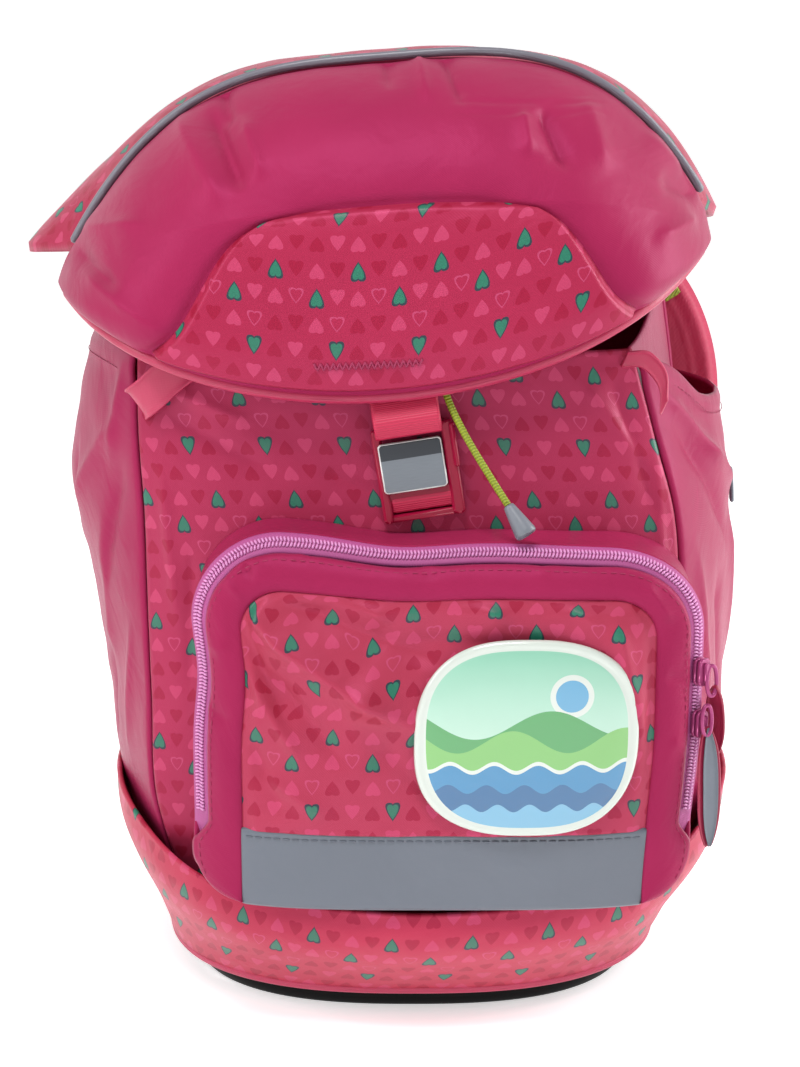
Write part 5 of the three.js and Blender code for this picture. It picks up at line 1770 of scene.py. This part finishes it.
def strap_lift(u, v, x, y, z):
    """A round edge 6 mm wide, and a sewn line 6.5 mm from the edge."""
    edge = np.minimum(to_edge(u) * STRAP_WIDTH, to_edge(v) * STRAP_RUN)
    return -1.6 * (1 - ease(edge / 6)) - 0.9 * bump(edge, 6.5, 0.9)


for side, name in ((-1, "left"), (1, "right")):
    strap = wall(f"shoulder_strap_{name}_padding", lambda u, v, side=side: strap_back(side, u, v), 0,
                 -side * STRAP_PADDING, 44, 150, strap_cloth, strap_lift,
                 replaced=[f"shoulder_strap_{name}"])
    foot = strap_point(side, 0.5, 1.0)
    drop = BAND_SIDE + 2 * WEBBING_WIDTH / 3
    tail = [
        (foot[0], foot[1] + STRAP_PADDING / 2, foot[2] - 4),
        (foot[0], PADDING_BACK + 2, lerp(foot[2], drop, 0.6)),
        (foot[0], PADDING_BACK + 1.5, drop),
    ]
    webbing_band(f"strap_webbing_{name}_ribbed", tail, (1, 0, 0), WEBBING_WIDTH, WEBBING, webbing,
                 replaced=[f"strap_webbing_{name}"])
    wall(f"strap_trim_{name}_lime",
         lambda u, v, side=side: strap_point(side, lerp(0.84, 0.98, u), lerp(0.44, 0.56, v)),
         -side * GAP, -side * (GAP + WEBBING), 8, 24, lime_cord,
         replaced=[f"strap_trim_{name}"])
print("strap foot in mm:", foot.round(1))

# %% [markdown]
# ### Grab handle and side tab
# The handle is a band arched from side to side. The tab is a scrap of tape on the right side pocket.

# %% Grab handle and side tab
HANDLE_ARCH = ((-1, 0), (-0.92, 0.6), (0, 1), (0.92, 0.6), (1, 0))
reach, foot_z = 0.3 * HALF_WIDTH, SIDE_TOP + 2 * GAP
depth = PADDING_BACK - WEBBING_WIDTH / 5
grip = [(aside * reach, depth, foot_z + rise * HANDLE_RISE) for aside, rise in HANDLE_ARCH]
webbing_band("grab_handle_webbing", grip, (0, 1, 0), HANDLE_WIDTH, 2 * WEBBING, webbing,
             steps=90, curl=0.5, replaced=["grab_handle"])
wall("side_tab_reflective",
     lambda u, v: side_pocket_point(1, lerp(0.5, 0.54, u), lerp(0.5, 0.535, v) * BAG_HEIGHT),
     GAP + WEBBING, GAP, 6, 12, reflective, replaced=["side_tab"])
print("handle in mm:", round(2 * reach, 1), "wide and", HANDLE_RISE, "high")

# %% [markdown]
# ## Floor and light
# The bag stands on a pale floor in even studio light: a wide soft lamp above and in front, and two
# strips beside it that draw the long highlights on the satin cloth.

# %% Floor and light
FLOOR_REACH = 40.0
floor_mesh = bpy.data.meshes.new("studio_floor")
corners = [(x * FLOOR_REACH, y * FLOOR_REACH, 0) for x, y in ((-1, -1), (1, -1), (1, 1), (-1, 1))]
floor_mesh.from_pydata(corners, [], [(0, 1, 2, 3)])
floor = bpy.data.objects.new("studio_floor", floor_mesh)
bpy.context.scene.collection.objects.link(floor)
WHITE = colour("#FFFFFF")
floor_mesh.materials.append(material("lit white floor", "#FFFFFF", 0.9, Emission_Strength=0.5,
                                     Emission_Color=WHITE)[0])


def studio_world():
    """White all round at the horizon, dimmer above, and brighter behind the bag than in front. With z
    the direction's height and y its part toward the back, the strength is 0.4 + 0.6 exp(-(z / 0.2)²),
    and as y runs from 0.3 to 1 another 0 to 0.6 comes on top."""
    world = bpy.data.worlds.new("studio")
    world.use_nodes = True
    add = functools.partial(add_node, world.node_tree)
    toward = add("SeparateXYZ", add("TexCoord").outputs["Generated"]).outputs
    height = add("Math DIVIDE", toward["Z"], 0.2)
    ring = add("Math EXPONENT", add("Math MULTIPLY", add("Math MULTIPLY", height, height), -1.0))
    behind = add("MapRange", {"Value": toward["Y"], "From Min": 0.3, "From Max": 1.0, "To Max": 0.6})
    strength = add("Math ADD", add("Math MULTIPLY_ADD", ring, 0.6, 0.4), behind)
    ground = world.node_tree.nodes["Background"]
    feed(ground.inputs["Color"], WHITE)
    feed(ground.inputs["Strength"], strength)
    return world


bpy.context.scene.world = studio_world()
bpy.context.scene.view_settings.view_transform = "Standard"


def soft_lamp(name, place, aim, size, power):
    """A white rectangular lamp at a place, turned toward an aim."""
    data = bpy.data.lights.new(name, "AREA")
    data.shape, data.size, data.size_y = "RECTANGLE", size[0], size[1]
    data.energy = power
    lamp = bpy.data.objects.new(name, data)
    lamp.location = place
    from_to = np.array(aim) - np.array(place)
    tip = math.acos(-from_to[2] / np.linalg.norm(from_to))
    lamp.rotation_euler = (tip, 0.0, math.atan2(from_to[1], from_to[0]) - math.pi / 2)
    bpy.context.scene.collection.objects.link(lamp)


soft_lamp("lamp_above", (-0.1, -0.55, 1.2), (0.0, 0.0, 0.2), (0.45, 0.3), 8.0)
soft_lamp("lamp_left", (-0.9, -0.45, 0.75), (0.0, 0.0, 0.2), (0.2, 0.7), 5.0)
soft_lamp("lamp_right", (0.95, 0.1, 0.5), (0.0, 0.0, 0.2), (0.2, 0.8), 8.0)
print("lamps:", len(bpy.data.lights))
